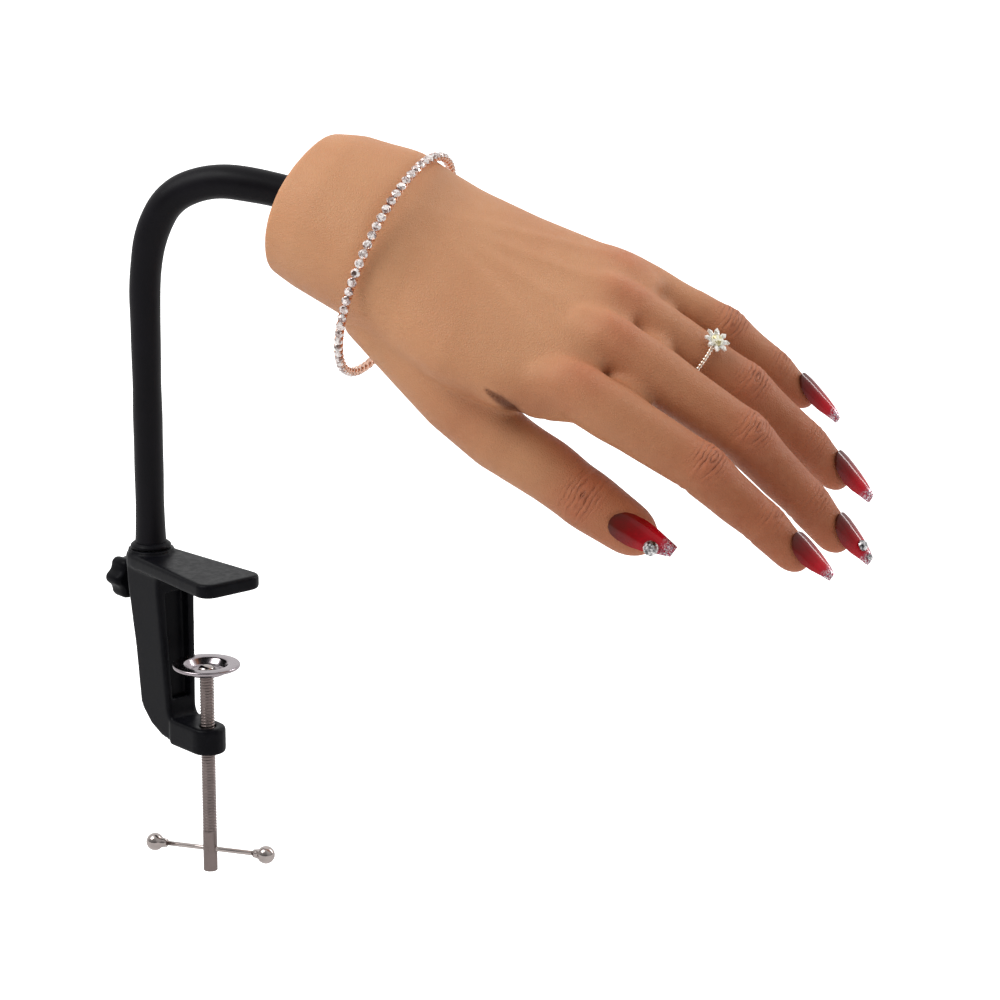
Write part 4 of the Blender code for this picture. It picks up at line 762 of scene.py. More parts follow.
def shapeHand(hand):
    # knuckles, tendons, hollows and the flexing lines that are large enough for the mesh
    points, normals = coordinates(hand.data), vertexNormals(hand.data)
    x, y, z = inFrame(points, handPlace)
    upward = normals @ np.array(handTurn.to_3x3())[:, 2] * relief["facing"]
    dorsal, palmar = np.clip(upward, 0, 1), np.clip(-upward, 0, 1)
    lift = np.zeros(len(points))
    wristEnd = inPalm((0.12, 0.03, 0)) / mm
    knuckles = [inPalm(digits[name]["knuckle"]) / mm for name in fingerNames]
    for name, knuckle in zip(fingerNames, knuckles):
        long, wide = relief["knuckle"]
        lift += digits[name]["tall"] * bell(x - knuckle.x + 1, long) * bell(y - knuckle.y, wide) * dorsal
        share = np.clip((x - wristEnd.x) / (knuckle.x - wristEnd.x), 0, 1)
        line = wristEnd.y + (knuckle.y - wristEnd.y) * share
        narrow, grown = relief["tendonReach"]
        lift += relief["tendon"] * bell(y - line, narrow + grown * (1 - share)) * np.sin(np.pi * share) ** 0.8 * dorsal
    height, long, wide = relief["hollow"]
    for a, b in zip(knuckles, knuckles[1:]):
        lift -= height * bell(x - (a.x + b.x) / 2 - 4, long) * bell(y - (a.y + b.y) / 2, wide) * dorsal
    ulna = inPalm((-0.02, 0.27, 0.4)) / mm
    height, long, wide = relief["wristBone"]
    lift += height * bell(x - ulna.x, long) * bell(y - ulna.y, wide) * dorsal
    lift -= relief["crease"] * bell(webCrease(x, y, z), 1.0)
    height, wide = relief["palmLine"]
    for (startX, startY), (endX, endY), sag in relief["palmLines"]:
        runX, runY = endX - startX, endY - startY
        along = np.clip(((x - startX) * runX + (y - startY) * runY) / (runX ** 2 + runY ** 2), 0, 1)
        bow = np.sin(np.pi * along) * sag
        away = np.hypot(x - startX - runX * along + bow * 0.5, y - startY - runY * along)
        lift -= height * bell(away, wide) * np.sin(np.pi * np.clip(along, 0.03, 0.97)) ** 0.3 * palmar
    dome, fold = relief["dome"], relief["fold"]
    for size, u, v, high, near in overJoints(points, 0.6, 1.35, 12):
        wave = np.cos(2 * np.pi * (u + 0.02 * v * v * np.sign(u)) / relief["foldPitch"] + 0.9 * np.sin(v * 0.9 + u))
        raised = dome[0] * bell(u, dome[1]) + fold[0] * wave * bell(u, fold[1])
        lift += size * raised * near * np.clip(high, 0, 1)
        for height, along, reach in relief["underFolds"]:
            lift -= size * height * bell(u - along, reach) * near * np.clip(-high, 0, 1)
    setCoordinates(hand.data, points + normals * lift[:, None] * mm)


def cutterBox(name, place, low, high, planes=()):
    # a box in a digit's axes, trimmed by planes (point, outward direction) in the world
    bm = bmesh.new()
    low, high = Vector(low), Vector(high)
    bmesh.ops.create_cube(bm, size=1, matrix=place @ Matrix.Translation((low + high) / 2)
                          @ Matrix.Diagonal((*(high - low), 1)))
    for point, outward in planes:
        cutFlat(bm, point, outward)
    outwardNormals(bm)
    return meshObject(name, bm, smooth=False)


def cutPiece(hand, name, cutters, operation):
    # a copy of the hand's skin, cut by the boxes
    piece = bpy.data.objects.new(name, hand.data.copy())
    bpy.context.scene.collection.objects.link(piece)
    for cutter in cutters:
        addModifier(piece, "BOOLEAN", operation=operation, solver="MANIFOLD", object=cutter)
    return applyModifiers(piece)


def keepShading(piece, tree, normals):
    # gives a cut piece the normals that its skin had in the whole hand
    mesh = piece.data
    near = np.array([normals[tree.find(point)[1]] for point in coordinates(mesh)])
    byLoop = near[readMesh(mesh.loops, "vertex_index", 1, np.int32)]
    flat = np.repeat(readMesh(mesh.polygons, "normal"), readMesh(mesh.polygons, "loop_total", 1, np.int32), axis=0)
    inside = np.einsum("ij,ij->i", byLoop, flat) < 0.35     # a cut face, not skin
    byLoop[inside] = flat[inside]
    mesh.normals_split_custom_set([tuple(value) for value in byLoop])


marks = {     # share of each mark, then how far it reaches in mm
    "knuckleBlush": (0.62, 9, 7.5), "jointBlush": (0.62, 7.5), "endBlush": 0.5, "jointFolds": (5.2, 7.5),
    # the crease, edge and palm marks are painted shade; the thumb's is painted shade at its root and a deeper tone at
    # its tip
    "creaseShadeHalo": (0.6, 4), "creaseShade": 1.7, "edgeShade": 0.75, "palmUndersideShade": 0.35,
    "thumbTanAndShade": ((-12, 10, 34), (0.55, 0.22, 0.78)),     # along the thumb
}


def markSkin(piece):
    # tan with painted shade, blush, fold and painted shade marks that the skin's material reads
    points, normals = coordinates(piece.data), vertexNormals(piece.data)
    x, y, z = inFrame(points, handPlace)
    upward = normals @ np.array(handTurn.to_3x3())[:, 2]
    # the tan deepens from the wrist to the fingertips, and down the thumb; at the thumb's root, under the palm, it is
    # painted shade
    tan = 0.12 * np.clip((x + 10) / 80, 0, 1) + 0.88 * np.clip((x - 72) / 72, 0, 1)
    u, v, w = inFrame(points, digits["thumb"]["root"])
    tan = np.maximum(tan, np.interp(u, *marks["thumbTanAndShade"]) * np.clip((u + 38) / 24, 0, 1)
                     * np.clip((25 - np.hypot(v, w)) / 9, 0, 1))
    # painted shade: skin turned down, under the hand, is darker
    tan = np.maximum(tan, marks["palmUndersideShade"] * np.clip(-upward, 0, 1))
    crease = webCrease(x, y, z)
    # painted shade: a wide dark halo round the fold between thumb and palm
    share, reach = marks["creaseShadeHalo"]
    tan = np.maximum(tan, share * bell(crease, reach))
    # painted shade: the palm's edge below the index, facing the thumb, is darker
    edge = bell(x - 78, 18) * np.clip((-25 - y) / 11, 0, 1) * (z > -14)     # the palm's edge turned to the thumb
    tan = np.maximum(tan, marks["edgeShade"] * edge)
    blush = np.zeros(len(points))
    share, long, wide = marks["knuckleBlush"]
    for name in fingerNames:
        knuckle = inPalm(digits[name]["knuckle"]) / mm
        blush = np.maximum(blush, share * bell(x - knuckle.x, long) * bell(y - knuckle.y, wide) * (upward > 0))
    for digit in digits.values():
        u, v, w = inFrame(points, digit["tip"])
        end = (np.hypot(v, w) < 14) * np.clip((u / (digit["tipLong"] / mm) - 0.1) / 0.8, 0, 1)
        blush = np.maximum(blush, marks["endBlush"] * end)
    fold = np.tile((30.0, 0.0, 0.0), (len(points), 1))     # distance along and across a joint, and how strong
    share, reach = marks["jointBlush"]
    long, wide = marks["jointFolds"]
    for size, u, v, high, near in overJoints(points, 0.55, 1.4, 14):
        top = near * np.clip(high * 1.5 - 0.25, 0, 1)
        strength = size * bell(u, long) * bell(v, wide) * top
        better = strength > fold[:, 2]
        fold[better] = np.stack([u, v, strength], 1)[better]
        blush = np.maximum(blush, size * share * bell(u, reach) * top)
    for name, values in (("shade", bell(crease, marks["creaseShade"])), ("blush", blush), ("tan", tan), ("fold", fold)):
        addAttribute(piece.data, name, values)


cuts = {     # the boxes that part the skins, in each digit's axes
    "back": -6 * mm, "far": 150 * mm, "side": 60 * mm, "top": 40 * mm, "baseFloor": -90 * mm, "tipFloor": -120 * mm,
    "overlap": 0.01 * mm, "overThumb": -14 * mm, "overThumbLean": (-0.1, 0, -1),
    "thumbBack": -4 * mm, "thumbHalf": 14.5 * mm, "thumbShares": (1.1, 1.05, 1.3),     # floor and top, tip's top
}


def buildHand():
    hand = handMesh()
    shapeHand(hand)
    print("hand skin has", len(hand.data.polygons), "faces")
    points, normals = coordinates(hand.data), vertexNormals(hand.data)
    tree = KDTree(len(points))
    for number, point in enumerate(points):
        tree.insert(point, number)
    tree.balance()
    walls = []
    for first, second in zip(fingerNames, fingerNames[1:]):     # walls halfway between neighbours
        a, b = digits[first]["root"], digits[second]["root"]
        outward = (a.to_3x3() @ Vector((0, 1, 0)) + b.to_3x3() @ Vector((0, 1, 0))).normalized()
        walls.append(((a.to_translation() + b.to_translation()) / 2, outward))
    far, side, top, overlap = cuts["far"], cuts["side"], cuts["top"], cuts["overlap"]
    pieces, holes = {}, []
    for number, name in enumerate(fingerNames):
        root, middle = digits[name]["root"], digits[name]["long"][0] * digits[name]["split"]
        planes = [(walls[i][0], walls[i][1] * way) for i, way in ((number - 1, -1), (number, 1)) if 0 <= i < 3]
        wider = [(point + outward * overlap, outward) for point, outward in planes]
        if name == "index":     # clear of the thumb below it
            lean = root.to_3x3() @ Vector(cuts["overThumbLean"]).normalized()
            above = (root @ Vector((0, 0, cuts["overThumb"])), lean)
            planes, wider = planes + [above], wider + [above]
        low = (cuts["back"], -side, cuts["baseFloor"])
        base = cutterBox(name + "BaseCut", root, low, (middle, side, top), planes)
        end = cutterBox(name + "TipCut", root, (middle, -side, cuts["tipFloor"]), (far, side, top), planes)
        holes.append(cutterBox(name + "Cut", root, low, (far, side, top), wider))
        pieces[name] = (base, end)
    root, middle = digits["thumb"]["root"], digits["thumb"]["long"][0] * digits["thumb"]["split"]
    half, (floorShare, topShare, tipShare) = cuts["thumbHalf"], cuts["thumbShares"]
    tipHigh = (far, half, half * tipShare)
    low, high = (cuts["thumbBack"], -half, -half * floorShare), (middle, half, half * topShare)
    pieces["thumb"] = (cutterBox("thumbBaseCut", root, low, high),
                       cutterBox("thumbTipCut", root, (middle, -half, -half), tipHigh))
    holes += [cutterBox("thumbHole", root, low, high),
              cutterBox("thumbCut", root, (middle - overlap, -half, -half), tipHigh)]
    spares = [hand, *holes]
    for name, (base, end) in pieces.items():
        pieces[name] = (cutPiece(hand, name + "BaseSkin", [base], "INTERSECT"),
                        cutPiece(hand, name + "TipSkin", [end], "INTERSECT"))
        spares += [base, end]
    palm = cutPiece(hand, "palmSkin", holes, "DIFFERENCE")
    for spare in spares:
        bpy.data.objects.remove(spare)
    for piece in (palm, *(piece for pair in pieces.values() for piece in pair)):
        keepShading(piece, tree, normals)
        markSkin(piece)
    finish(palm, "hand", skinMaterial, ("palm_skin",))
    for name, (base, end) in pieces.items():
        root, joint = digits[name]["root"], digits[name]["joint"]
        finish(base, None, skinMaterial)
        finish(end, None, skinMaterial)
        far = handShape["thumbRootSkin" if name == "thumb" else "rootSkin"]
        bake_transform(base)
        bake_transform(end)
        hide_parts(name + "_skin_base")
        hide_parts(name + "_skin_tip")


buildHand()
print("hand ready")


# neck sleeve: one piece across each joint, from the middle of a segment to the middle of the next

neck = {
    "reach": 30.4 * mm, "base": 6.3 * mm, "straight": 83.2 * mm, "bend": 84.2 * mm, "heading": 37.0,
    "arcs": ((0.202, 10.0), (0.166, 20.0), (0.142, 35.0), (0.202, 30.0), (0.288, 10.0)),
    "joints": (28.3, 55.7, 83.2, 100.2, 114.2, 126.1, 143.1), "tail": 184.0,     # mm along the neck
    "radius": 4.85 * mm, "endRadius": 5.6 * mm, "sides": 40, "flare": 0.55 * mm,
    "foot": 0.25 * mm, "step": 1.6 * mm, "flareLength": 3.0 * mm, "unevenness": 0.045 * mm,
}


def neckPlace(length):
    heading = math.radians(neck["heading"])
    ahead = Vector((math.cos(heading), math.sin(heading), 0))
    aside = Vector((-math.sin(heading), math.cos(heading), 0))
    out, up, lean = 0.0, neck["base"] + min(length, neck["straight"]), 0.0
    left = max(length - neck["straight"], 0)
    for share, degrees in neck["arcs"]:
        run = min(left, share * neck["bend"])
        rate = math.radians(degrees) / (share * neck["bend"])
        end = lean + rate * run
        out += (math.cos(lean) - math.cos(end)) / rate
        up += (math.sin(end) - math.sin(lean)) / rate
        left, lean = left - run, end
    out += left * math.sin(lean)
    up += left * math.cos(lean)
    along = ahead * math.sin(lean) + Vector((0, 0, math.cos(lean)))
    spot = ahead * out + Vector((-neck["reach"], 0, up))
    columns = [list(vector) + [0] for vector in (along, aside, along.cross(aside))]
    return Matrix([*columns, list(spot) + [1]]).transposed()


def neckRadius(length):
    grown = min(max((length - neck["straight"] * 0.8) / neck["bend"], 0), 1)
    radius = neck["radius"] + (neck["endRadius"] - neck["radius"]) * min(grown * 1.6, 1)
    radius += neck["flare"] * math.exp(-length / neck["flareLength"])      # seated in its collar
    wave = math.sin(length / mm * 0.31) + math.sin(length / mm * 0.173 + 1.3)
    return radius + neck["unevenness"] * wave


def buildNeck():
    ends = [0.0] + [value * mm for value in neck["joints"]] + [neck["tail"] * mm]
    halves = [neck["foot"]] + [(a + b) / 2 for a, b in zip(ends[1:], ends[2:])]
    halves[-1] = ends[-1]
    for number in range(1, 8):
        low, high, joint = halves[number - 1], halves[number], ends[number]
        steps = max(int((high - low) / neck["step"]), 6)
        bm = bmesh.new()
        rings = []
        for i in range(steps + 1):
            length = low + (high - low) * i / steps
            radius = neckRadius(length)
            rings.append(ring(bm, neckPlace(length), radius, radius, neck["sides"]))
        loftRings(bm, rings)
        sleeve = meshObject(f"neckSleeve{number}", bm, sharpAngle=50)
        finish(sleeve, None, sleeveRubber)
        spread = min(joint - low, high - joint) * 0.9
        neckPlace(joint - spread).translation
        neckPlace(joint + spread).translation
        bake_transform(sleeve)
        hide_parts(f"neck_sleeve_{number}", *(["neck_sleeve_8"] if number == 7 else []))


buildNeck()
print("neck ready")


# clamp: the casting gets soft edges, the turned parts get finer profiles

clamp = {
    "voxel": 0.42 * mm, "softening": 5, "reach": 30.4 * mm, "collar": 6.8 * mm, "collarHeight": 1.8 * mm,
    "padDrop": 27.3 * mm, "padDish": 2.2 * mm, "padThickness": 1.2 * mm, "padRadius": 11.2 * mm,
    "screwRadius": 2.45 * mm, "screwNeck": 1.6 * mm, "screwLength": 68.5 * mm, "pitch": 1.0 * mm,
    "threadDepth": 0.34 * mm, "plainEnd": 14 * mm, "rivet": 2.7 * mm, "barLift": 7.5 * mm, "barRadius": 0.8 * mm,
    "barSpan": 40.0 * mm, "ball": 3.0 * mm, "barHeading": 31.5,
    "knobRadius": 7.5 * mm, "knobThickness": 8.5 * mm, "knobDrop": 6.9 * mm, "knobGap": 9.2 * mm, "lobes": 6,
    "lobeDepth": 0.09, "lobeSides": 16, "gap": 0.3 * mm, "collarRound": 0.35 * mm, "padRound": 0.55 * mm,
    # place along the knob and size, from its back to the bottom of the recess
    "knobStations": ((0.0, 0.80), (0.04, 0.88), (0.12, 0.96), (0.25, 1.0), (0.75, 1.0), (0.88, 0.96), (0.96, 0.88),
                     (1.0, 0.78), (1.0, 0.56), (0.93, 0.50), (0.93, 0.2)),
}


def spinProfile(name, profile, place=None, sides=64):
    # a turned piece from its (radius, height) profile about Z
    bm = bmesh.new()
    verts = [bm.verts.new((radius, 0, height)) for radius, height in profile]
    edges = [bm.edges.new(pair) for pair in zip(verts, verts[1:])]
    bmesh.ops.spin(bm, geom=verts + edges, cent=(0, 0, 0), axis=(0, 0, 1), angle=2 * math.pi, steps=sides,
                   use_merge=True)
    bmesh.ops.remove_doubles(bm, verts=bm.verts, dist=0.002 * mm)
    outwardNormals(bm)
    if place is not None:
        bmesh.ops.transform(bm, matrix=place, verts=bm.verts)
    return meshObject(name, bm)


def rounded(corners, radius, steps=4):
    # a profile with its inner corners rounded
    points = [Vector(corners[0])]
    for before, corner, after in zip(corners, corners[1:], corners[2:]):
        before, corner, after = Vector(before), Vector(corner), Vector(after)
        reach = min(radius, (before - corner).length * 0.45, (after - corner).length * 0.45)
        start = corner + (before - corner).normalized() * reach
        end = corner + (after - corner).normalized() * reach
        for i in range(steps + 1):
            share = i / steps
            points.append((start * (1 - share) ** 2) + corner * 2 * share * (1 - share) + end * share ** 2)
    return points + [Vector(corners[-1])]


def buildClamp():
    # the casting, from the CAD body
    bm = bmesh.new()
    bm.from_mesh(nodes["clamp_body"].data)
    bmesh.ops.remove_doubles(bm, verts=bm.verts, dist=0.001 * mm)
    casting = meshObject("clampCasting", bm)
    addModifier(casting, "REMESH", mode="VOXEL", voxel_size=clamp["voxel"])
    addModifier(casting, "SMOOTH", factor=0.5, iterations=clamp["softening"])
    applyModifiers(casting).data.shade_smooth()
    finish(casting, "clamp", clampPaint, ("clamp_body",))

    inside, low = neck["radius"] + clamp["gap"], neck["base"]
    high, wide = clamp["collarHeight"], clamp["collar"]
    corners = [(inside, low), (wide, low), (wide, low + high * 0.5), (inside + high * 0.3, low + high),
               (inside, low + high), (inside, low)]
    collar = spinProfile("neckCollar", rounded(corners, clamp["collarRound"]), shift(-clamp["reach"]))
    finish(collar, "neck_1", clampPaint, ("neck_collar",))

    # pad: a pressed washer with a rolled rim
    floor = -clamp["padDrop"] - clamp["padDish"]
    top, thick, dish = -clamp["padDrop"], clamp["padThickness"], clamp["padRadius"] * 0.5
    wall = dish + clamp["padDish"] * 0.8
    hole = clamp["screwNeck"] + clamp["gap"]
    corners = [(hole, floor), (dish, floor), (wall, top), (clamp["padRadius"], top), (clamp["padRadius"], top - thick),
               (wall + thick * 0.5, top - thick), (dish + thick * 0.5, floor - thick), (hole, floor - thick),
               (hole, floor)]
    pad = spinProfile("pressurePad", rounded(corners, clamp["padRound"]), sides=80)
    finish(pad, "pad", padSteel, ("pressure_pad",))

    # screw: a real helix, cut flat at both ends, and the riveted dome over the pad
    shoulder = floor - thick - clamp["gap"]
    bottom = shoulder - clamp["screwLength"]
    pitch, outer = clamp["pitch"], clamp["screwRadius"]
    inner, steps = outer - clamp["threadDepth"], 24
    bm = bmesh.new()
    turns = int(clamp["screwLength"] / pitch) + 2
    profile = []
    for i in range(turns * 4 + 1):
        radius = (inner, (inner + outer) / 2, outer, (inner + outer) / 2)[i % 4]
        profile.append(bm.verts.new((radius, 0, bottom - 1.5 * pitch + i * pitch / 4)))
    edges = [bm.edges.new(pair) for pair in zip(profile, profile[1:])]
    bmesh.ops.spin(bm, geom=profile + edges, cent=(0, 0, 0), axis=(0, 0, 1), dvec=(0, 0, pitch / steps),
                   angle=2 * math.pi, steps=steps)
    bmesh.ops.remove_doubles(bm, verts=bm.verts, dist=0.01 * mm)
    for vert in bm.verts:     # the turned end below the thread
        if vert.co.z < bottom + clamp["plainEnd"]:
            shrink = outer * 0.97 / math.hypot(vert.co.x, vert.co.y)
            vert.co.x *= shrink
            vert.co.y *= shrink
    for height, way in ((shoulder, 1), (bottom, -1)):
        cutFlat(bm, (0, 0, height), (0, 0, way))
    outwardNormals(bm)
    finish(meshObject("clampScrew", bm), "screw", screwSteel, ("clamp_screw",))
    seat, dome = floor + clamp["gap"], clamp["rivet"]
    foot, brim, rise = shoulder - 0.2 * mm, seat + 0.12 * mm, dome * 0.46
    profile = [(0, foot), (clamp["screwNeck"], foot), (clamp["screwNeck"], seat), (dome * 0.94, seat)]
    profile += [(dome * math.cos(math.radians(a)), brim + rise * math.sin(math.radians(a))) for a in range(0, 90, 18)]
    profile += [(0, brim + rise)]
    rivet = spinProfile("screwRivet", profile, sides=40)
    finish(rivet, "screw", polishedSteel)

    # bar and its balls
    across = shift(z=bottom + clamp["barLift"]) @ turn("Z", clamp["barHeading"])
    half, thin, ball = clamp["barSpan"] / 2, clamp["barRadius"], clamp["ball"]
    bar = spinProfile("tommyBar", [(0, -half), (thin, -half), (thin, half), (0, half)], across @ turn("Y", 90), 28)
    finish(bar, "bar", polishedSteel, ("tommy_bar",))
    for label, node, side in (("barBallLeft", "bar_ball_left", -1), ("barBallRight", "bar_ball_right", 1)):
        profile = [(0, ball)] + [(ball * math.sin(math.radians(a)), ball * math.cos(math.radians(a)))
                                 for a in range(12, 150, 12)]
        profile += [(thin * 1.9, -ball * 1.12), (thin * 1.7, -ball * 1.45), (thin, -ball * 1.45), (0, -ball * 1.45)]
        knob = spinProfile(label, profile, across @ shift(side * half) @ turn("Y", 90 * side), 40)
        finish(knob, "bar", polishedSteel, (node,))

    # lobed knob with a rounded rim and a shallow recess in its face
    start = -clamp["reach"] - clamp["knobGap"]
    bm = bmesh.new()
    rings = []
    sides = clamp["lobes"] * clamp["lobeSides"]
    for along, size in clamp["knobStations"]:
        verts, edges = circle(bm, sides)
        for number, vert in enumerate(verts):
            angle = 2 * math.pi * number / sides
            lobe = math.cos(clamp["lobes"] * angle)
            depth = clamp["lobeDepth"] if size > 0.6 else 0.0     # the recess is round
            radius = clamp["knobRadius"] * size * (1 - depth + depth * math.copysign(abs(lobe) ** 0.8, lobe))
            vert.co = Vector((start - along * clamp["knobThickness"], radius * math.cos(angle),
                              -clamp["knobDrop"] + radius * math.sin(angle)))
        rings.append(edges)
    loftRings(bm, rings)
    finish(meshObject("lockingKnob", bm), "knob", knobPlastic, ("knob_head",))


buildClamp()
print("clamp ready")


# nails

nailShape = {
    "thickness": 0.9 * mm, "free": 6.8 * mm, "start": 0.44, "gap": 0.45 * mm, "flat": 0.94, "rows": 26, "columns": 12,
    "slope": 0.26, "bulge": 0.55 * mm, "hook": 0.9 * mm, "cuticle": 0.12,
    "widths": ((0.0, 0.40), (0.06, 0.50), (0.2, 0.58), (0.4, 0.60), (0.6, 0.52), (0.8, 0.38), (0.97, 0.27),
               (1.0, 0.24)),
    # width, free length, lean at the tip
    "index": (1.0, 1.0, 0.0), "middle": (1.0, 1.0, -0.08), "ring": (1.0, 1.1, -0.14),
    "pinky": (1.0, 1.3, -0.14), "thumb": (0.82, 0.95, 0.22),
}


def between(table, value):
    # a value read off a table of pairs, in a straight line between them
    for (x0, y0), (x1, y1) in zip(table, table[1:]):
        if value <= x1:
            return y0 + (y1 - y0) * (value - x0) / (x1 - x0)
    return table[-1][1]


def nailSurface(name, reached, side, height):
    # a point of the nail: from cuticle to tip, from side to side (-1 to 1), and above its floor
    digit = digits[name]
    wide, free, lean = nailShape[name]
    length = digit["tipLong"]
    radius = digit["thick"][2]
    along = length * nailShape["start"] + (length * (1 - nailShape["start"]) + nailShape["free"] * free) * reached
    under = radius * (1 - nailShape["slope"] * along / length) + nailShape["gap"]
    spread = math.asin(min(radius * between(nailShape["widths"], reached) * wide / under, 0.95))
    aside = math.asin(lean * radius * (1.4 * reached - 0.4) / under)
    angle = aside + spread * side
    # the cuticle end is rounded
    bulge = nailShape["bulge"] * (1 - reached) * (1 - side * side) if reached < nailShape["cuticle"] else 0
    back = nailShape["hook"] * side * side * max(1 - reached / nailShape["cuticle"], 0)
    swell = under + height
    return digit["tip"] @ Vector((along + back - bulge, swell * math.sin(angle),
                                  swell * math.cos(angle) * nailShape["flat"]))


def buildNail(name):
    bm = bmesh.new()
    reachLayer = bm.verts.layers.float.new("reach")
    rings, rows, columns = [], nailShape["rows"], nailShape["columns"]
    for row in range(rows + 1):
        reached = row / rows
        top = nailShape["thickness"] * (0.62 + 0.38 * min(reached / 0.25, 1))
        top *= 1 - 0.30 * max(reached - 0.85, 0) / 0.15
        bottom = (-0.5 * mm) * max(1 - reached / 0.45, 0) + 0.28 * mm * min(reached / 0.45, 1)
        outline = []
        for i in range(columns + 1):
            side = i / columns * 2 - 1
            outline.append((side, top - 0.28 * mm * abs(side) ** 5))
        for i in range(columns + 1):
            side = 1 - i / columns * 2
            outline.append((side * 0.97, bottom + 0.1 * mm * (1 - abs(side) ** 4)))
        verts, edges = circle(bm, len(outline))
        for vert, (side, height) in zip(verts, outline):
            vert.co = nailSurface(name, reached, side, height)
            vert[reachLayer] = reached
        rings.append(edges)
    loftRings(bm, rings)
    finish(meshObject(name + "Nail", bm, sharpAngle=50), name + "_tip", nailGel, (name + "_nail",))


# a stone's table, crown, girdle and short pavilion: size, height and twist
stoneTiers = ((0.52, 1.0, 0.0), (0.86, 0.62, 0.5), (1.0, 0.32, 0.0), (0.55, 0.0, 0.5))
facetNoise = (12.9898, 78.233, 43758.5453)


def cutStone(bm, place, radius, height, spark, shade, sides):
    loops = []
    for size, up, twist in stoneTiers:
        seat = place @ shift(z=height * up) @ turn("Z", 360 / sides * twist)
        loops.append(circle(bm, sides, radius * size, seat)[1])
    before = set(bm.faces)
    joinLoops(bm, loops)
    markFacets([face for face in bm.faces if face not in before], spark, shade)


def markFacets(faces, spark, shade=0):
    # a painted reflection for each facet: a brightness of its own
    for number, face in enumerate(faces):
        face[spark] = (math.sin(number * facetNoise[0] + shade * facetNoise[1]) * facetNoise[2]) % 1.0


def stonesObject(name, bm):
    outwardNormals(bm)
    return meshObject(name, bm, smooth=False)


def addCone(bm, sides, foot, top, depth, place):
    bmesh.ops.create_cone(bm, cap_ends=True, segments=sides, radius1=foot, radius2=top, depth=depth, matrix=place)


# each nail's gems: place along the free end and across, and radius
gems = {"thumb": ((0.0, -0.12, 2.5 * mm),), "middle": ((0.1, -0.05, 1.9 * mm), (0.78, -0.10, 1.1 * mm))}


def buildGem(name):
    digit = digits[name]
    bm = bmesh.new()
    spark = bm.faces.layers.float.new("spark")
    for number, (share, side, radius) in enumerate(gems[name]):
        along = digit["tipLong"] + nailShape["free"] * share
        under = digit["thick"][2] * (1 - nailShape["slope"] * along / digit["tipLong"]) + nailShape["gap"]
        top = (under + nailShape["thickness"]) * nailShape["flat"]
        seat = digit["tip"] @ Matrix.Translation((along, side * digit["thick"][2], top - 0.15 * mm))
        cutStone(bm, seat, radius, radius * 0.98, spark, number + 1, 12)
    finish(stonesObject(name + "Gem", bm), name + "_tip", brightGem, (name + "_gem",))


for nailName in (*fingerNames, "thumb"):
    buildNail(nailName)
for gemName in gems:
    buildGem(gemName)
print("nails ready")


# bracelet: stones in four-claw cups, linked round

bracelet = {
    "radius": 37.28 * mm, "stones": 74, "stone": 1.62 * mm, "height": 1.45 * mm, "lift": 0.35 * mm,
    "cup": (0.62, 0.98), "cupDrop": 0.15 * mm, "depth": 1.5 * mm,     # shares of the stone, cups' and claws' depth
    "claw": (0.27 * mm, 0.2 * mm), "clawReach": 0.92, "clawLift": 0.55 * mm, "clawLean": -14,
    "link": 0.42 * mm, "linkLength": 2.3 * mm, "linkDrop": 0.55 * mm,
}


def chainPlace(angle, place, radius):
    # a seat on a ring square to the place's X axis, with Z outwards
    return place @ turn("X", math.degrees(angle)) @ shift(z=radius)


def buildBracelet():
    centre = Vector(joints["bracelet_turn"]["pos_m"])
    place = Matrix.Translation(centre) @ handTurn
    count = bracelet["stones"]
    stones, cups = bmesh.new(), bmesh.new()
    spark = stones.faces.layers.float.new("spark")
    size, radius, depth, wire = (bracelet[label] for label in ("stone", "radius", "depth", "link"))
    cupFoot, cupTop = bracelet["cup"]
    for number in range(count):
        seat = chainPlace(2 * math.pi * number / count, place, radius)
        cutStone(stones, seat @ shift(z=bracelet["lift"]), size, bracelet["height"], spark, number, 8)
        addCone(cups, 10, size * cupFoot, size * cupTop, depth, seat @ shift(z=-bracelet["cupDrop"]))
        for angle in (45, 135, 225, 315):
            spot = seat @ turn("Z", angle) @ shift(size * bracelet["clawReach"], 0, bracelet["clawLift"])
            addCone(cups, 5, *bracelet["claw"], depth, spot @ turn("Y", bracelet["clawLean"]))
        link = chainPlace(2 * math.pi * (number + 0.5) / count, place, radius - bracelet["linkDrop"])
        addCone(cups, 6, wire, wire, bracelet["linkLength"], link @ turn("X", 90))
    finish(stonesObject("braceletStones", stones), "bracelet", stoneGlass, ("tennis_bracelet",))
    outwardNormals(cups)
    finish(meshObject("braceletSettings", cups, sharpAngle=40), "bracelet", roseGold)


# ring: a beaded band and a flower of eight pointed stones round a warm centre

flower = {
    "place": 0.64, "gap": 0.9 * mm, "beads": 50, "bead": 0.86 * mm, "cup": (1.7 * mm, 2.6 * mm, 0.9 * mm),
    "petals": 8, "reach": 4.6 * mm, "petal": (1.95 * mm, 1.25 * mm, 0.75 * mm), "petalLean": -8, "point": 0.5,
    "prong": 0.5 * mm, "centre": 2.2 * mm, "height": 1.6 * mm,
}


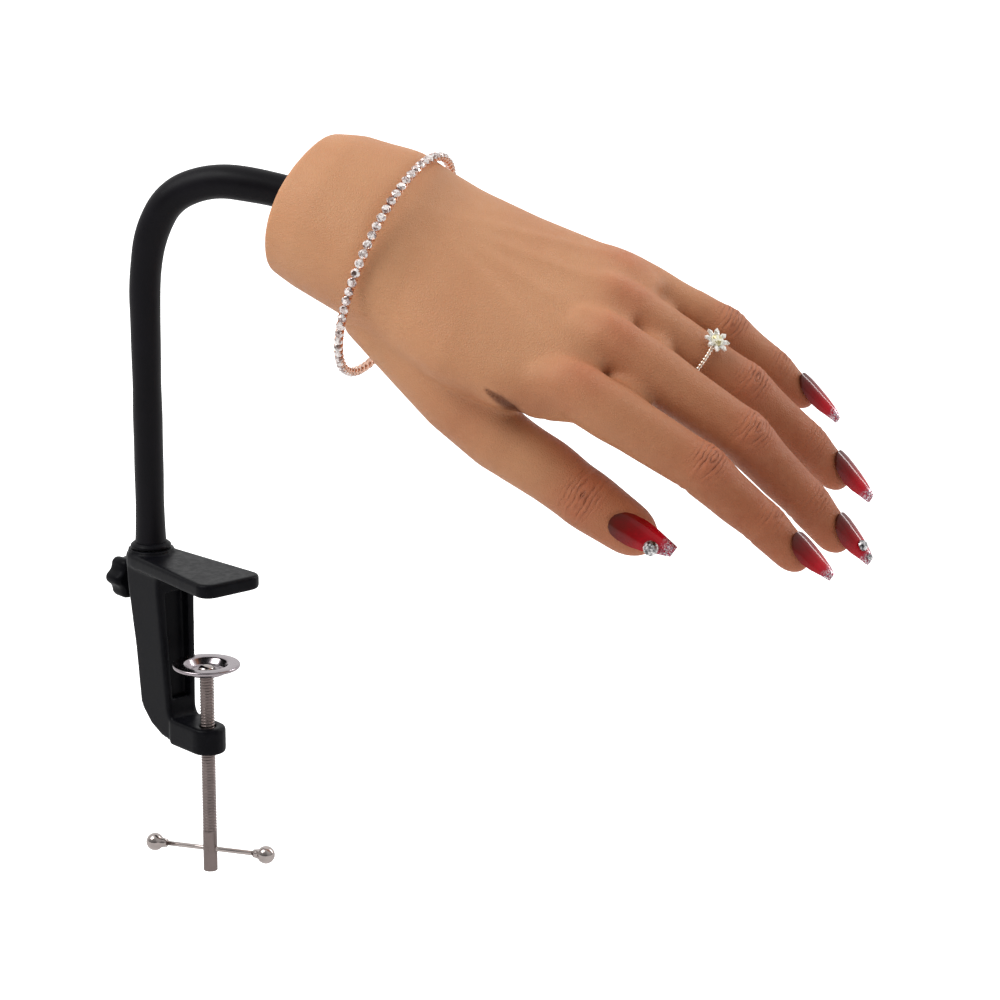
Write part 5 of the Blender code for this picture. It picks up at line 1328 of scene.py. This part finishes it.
def buildRing():
    digit = digits["ring"]
    first, (big, mid) = digit["long"][0], digit["thick"][:2]
    spot = digit["root"] @ shift(first * flower["place"])
    reachShare = 0.25 * handShape["width"] / first
    middle = (reachShare + 1) / 2
    toward = max((flower["place"] - middle) / (1 - middle), 0)
    waist = (big + mid) / 2 * 0.97
    radius = waist + (mid - waist) * toward + flower["gap"]
    band, stones = bmesh.new(), bmesh.new()
    spark = stones.faces.layers.float.new("spark")
    for number in range(flower["beads"]):
        seat = chainPlace(2 * math.pi * number / flower["beads"], spot, radius)
        bmesh.ops.create_icosphere(band, subdivisions=1, radius=flower["bead"], matrix=seat)
    seat = spot @ shift(z=radius + 0.3 * mm)
    addCone(band, 16, *flower["cup"], seat @ shift(z=0.35 * mm))
    long, step, reach = flower["petal"][0], 360 / flower["petals"], flower["reach"]
    for number in range(flower["petals"]):
        petal = seat @ turn("Z", step * (number + 0.5)) @ shift(reach * 0.62, 0, 1.0 * mm)
        petal = petal @ turn("Y", flower["petalLean"])
        made = bmesh.ops.create_icosphere(stones, subdivisions=1, radius=1,
                                          matrix=petal @ Matrix.Diagonal((*flower["petal"], 1)))
        for vert in made["verts"]:     # narrows to a point at both ends
            local = petal.inverted() @ vert.co
            vert.co = petal @ Vector((local.x, local.y * (1 - flower["point"] * abs(local.x) / long), local.z))
        prong = seat @ turn("Z", step * number) @ shift(reach * 0.5, 0, 0.9 * mm)
        bmesh.ops.create_icosphere(stones, subdivisions=1, radius=flower["prong"], matrix=prong)
    markFacets(stones.faces, spark)
    finish(stonesObject("flowerPetals", stones), "ring_band", petalStone)
    centre = bmesh.new()
    spark = centre.faces.layers.float.new("spark")
    cutStone(centre, seat @ shift(z=0.9 * mm), flower["centre"], flower["height"], spark, 5, 10)
    finish(stonesObject("flowerCentre", centre), "ring_band", warmStone)
    outwardNormals(band)
    finish(meshObject("beadedBand", band, sharpAngle=60), "ring_band", bandMetal, ("flower_ring",))


buildBracelet()
buildRing()
print("jewellery ready")


# the steel and plastic parts inside keep their solids
for label, node in nodes.items():
    if "link" in label or "core" in label or label in ("armature_plate", "neck_spigot", "knob_stud", "wrist_socket"):
        node.data.materials.clear()
        node.data.materials.append(knobPlastic if label == "wrist_socket" else hiddenSteel)
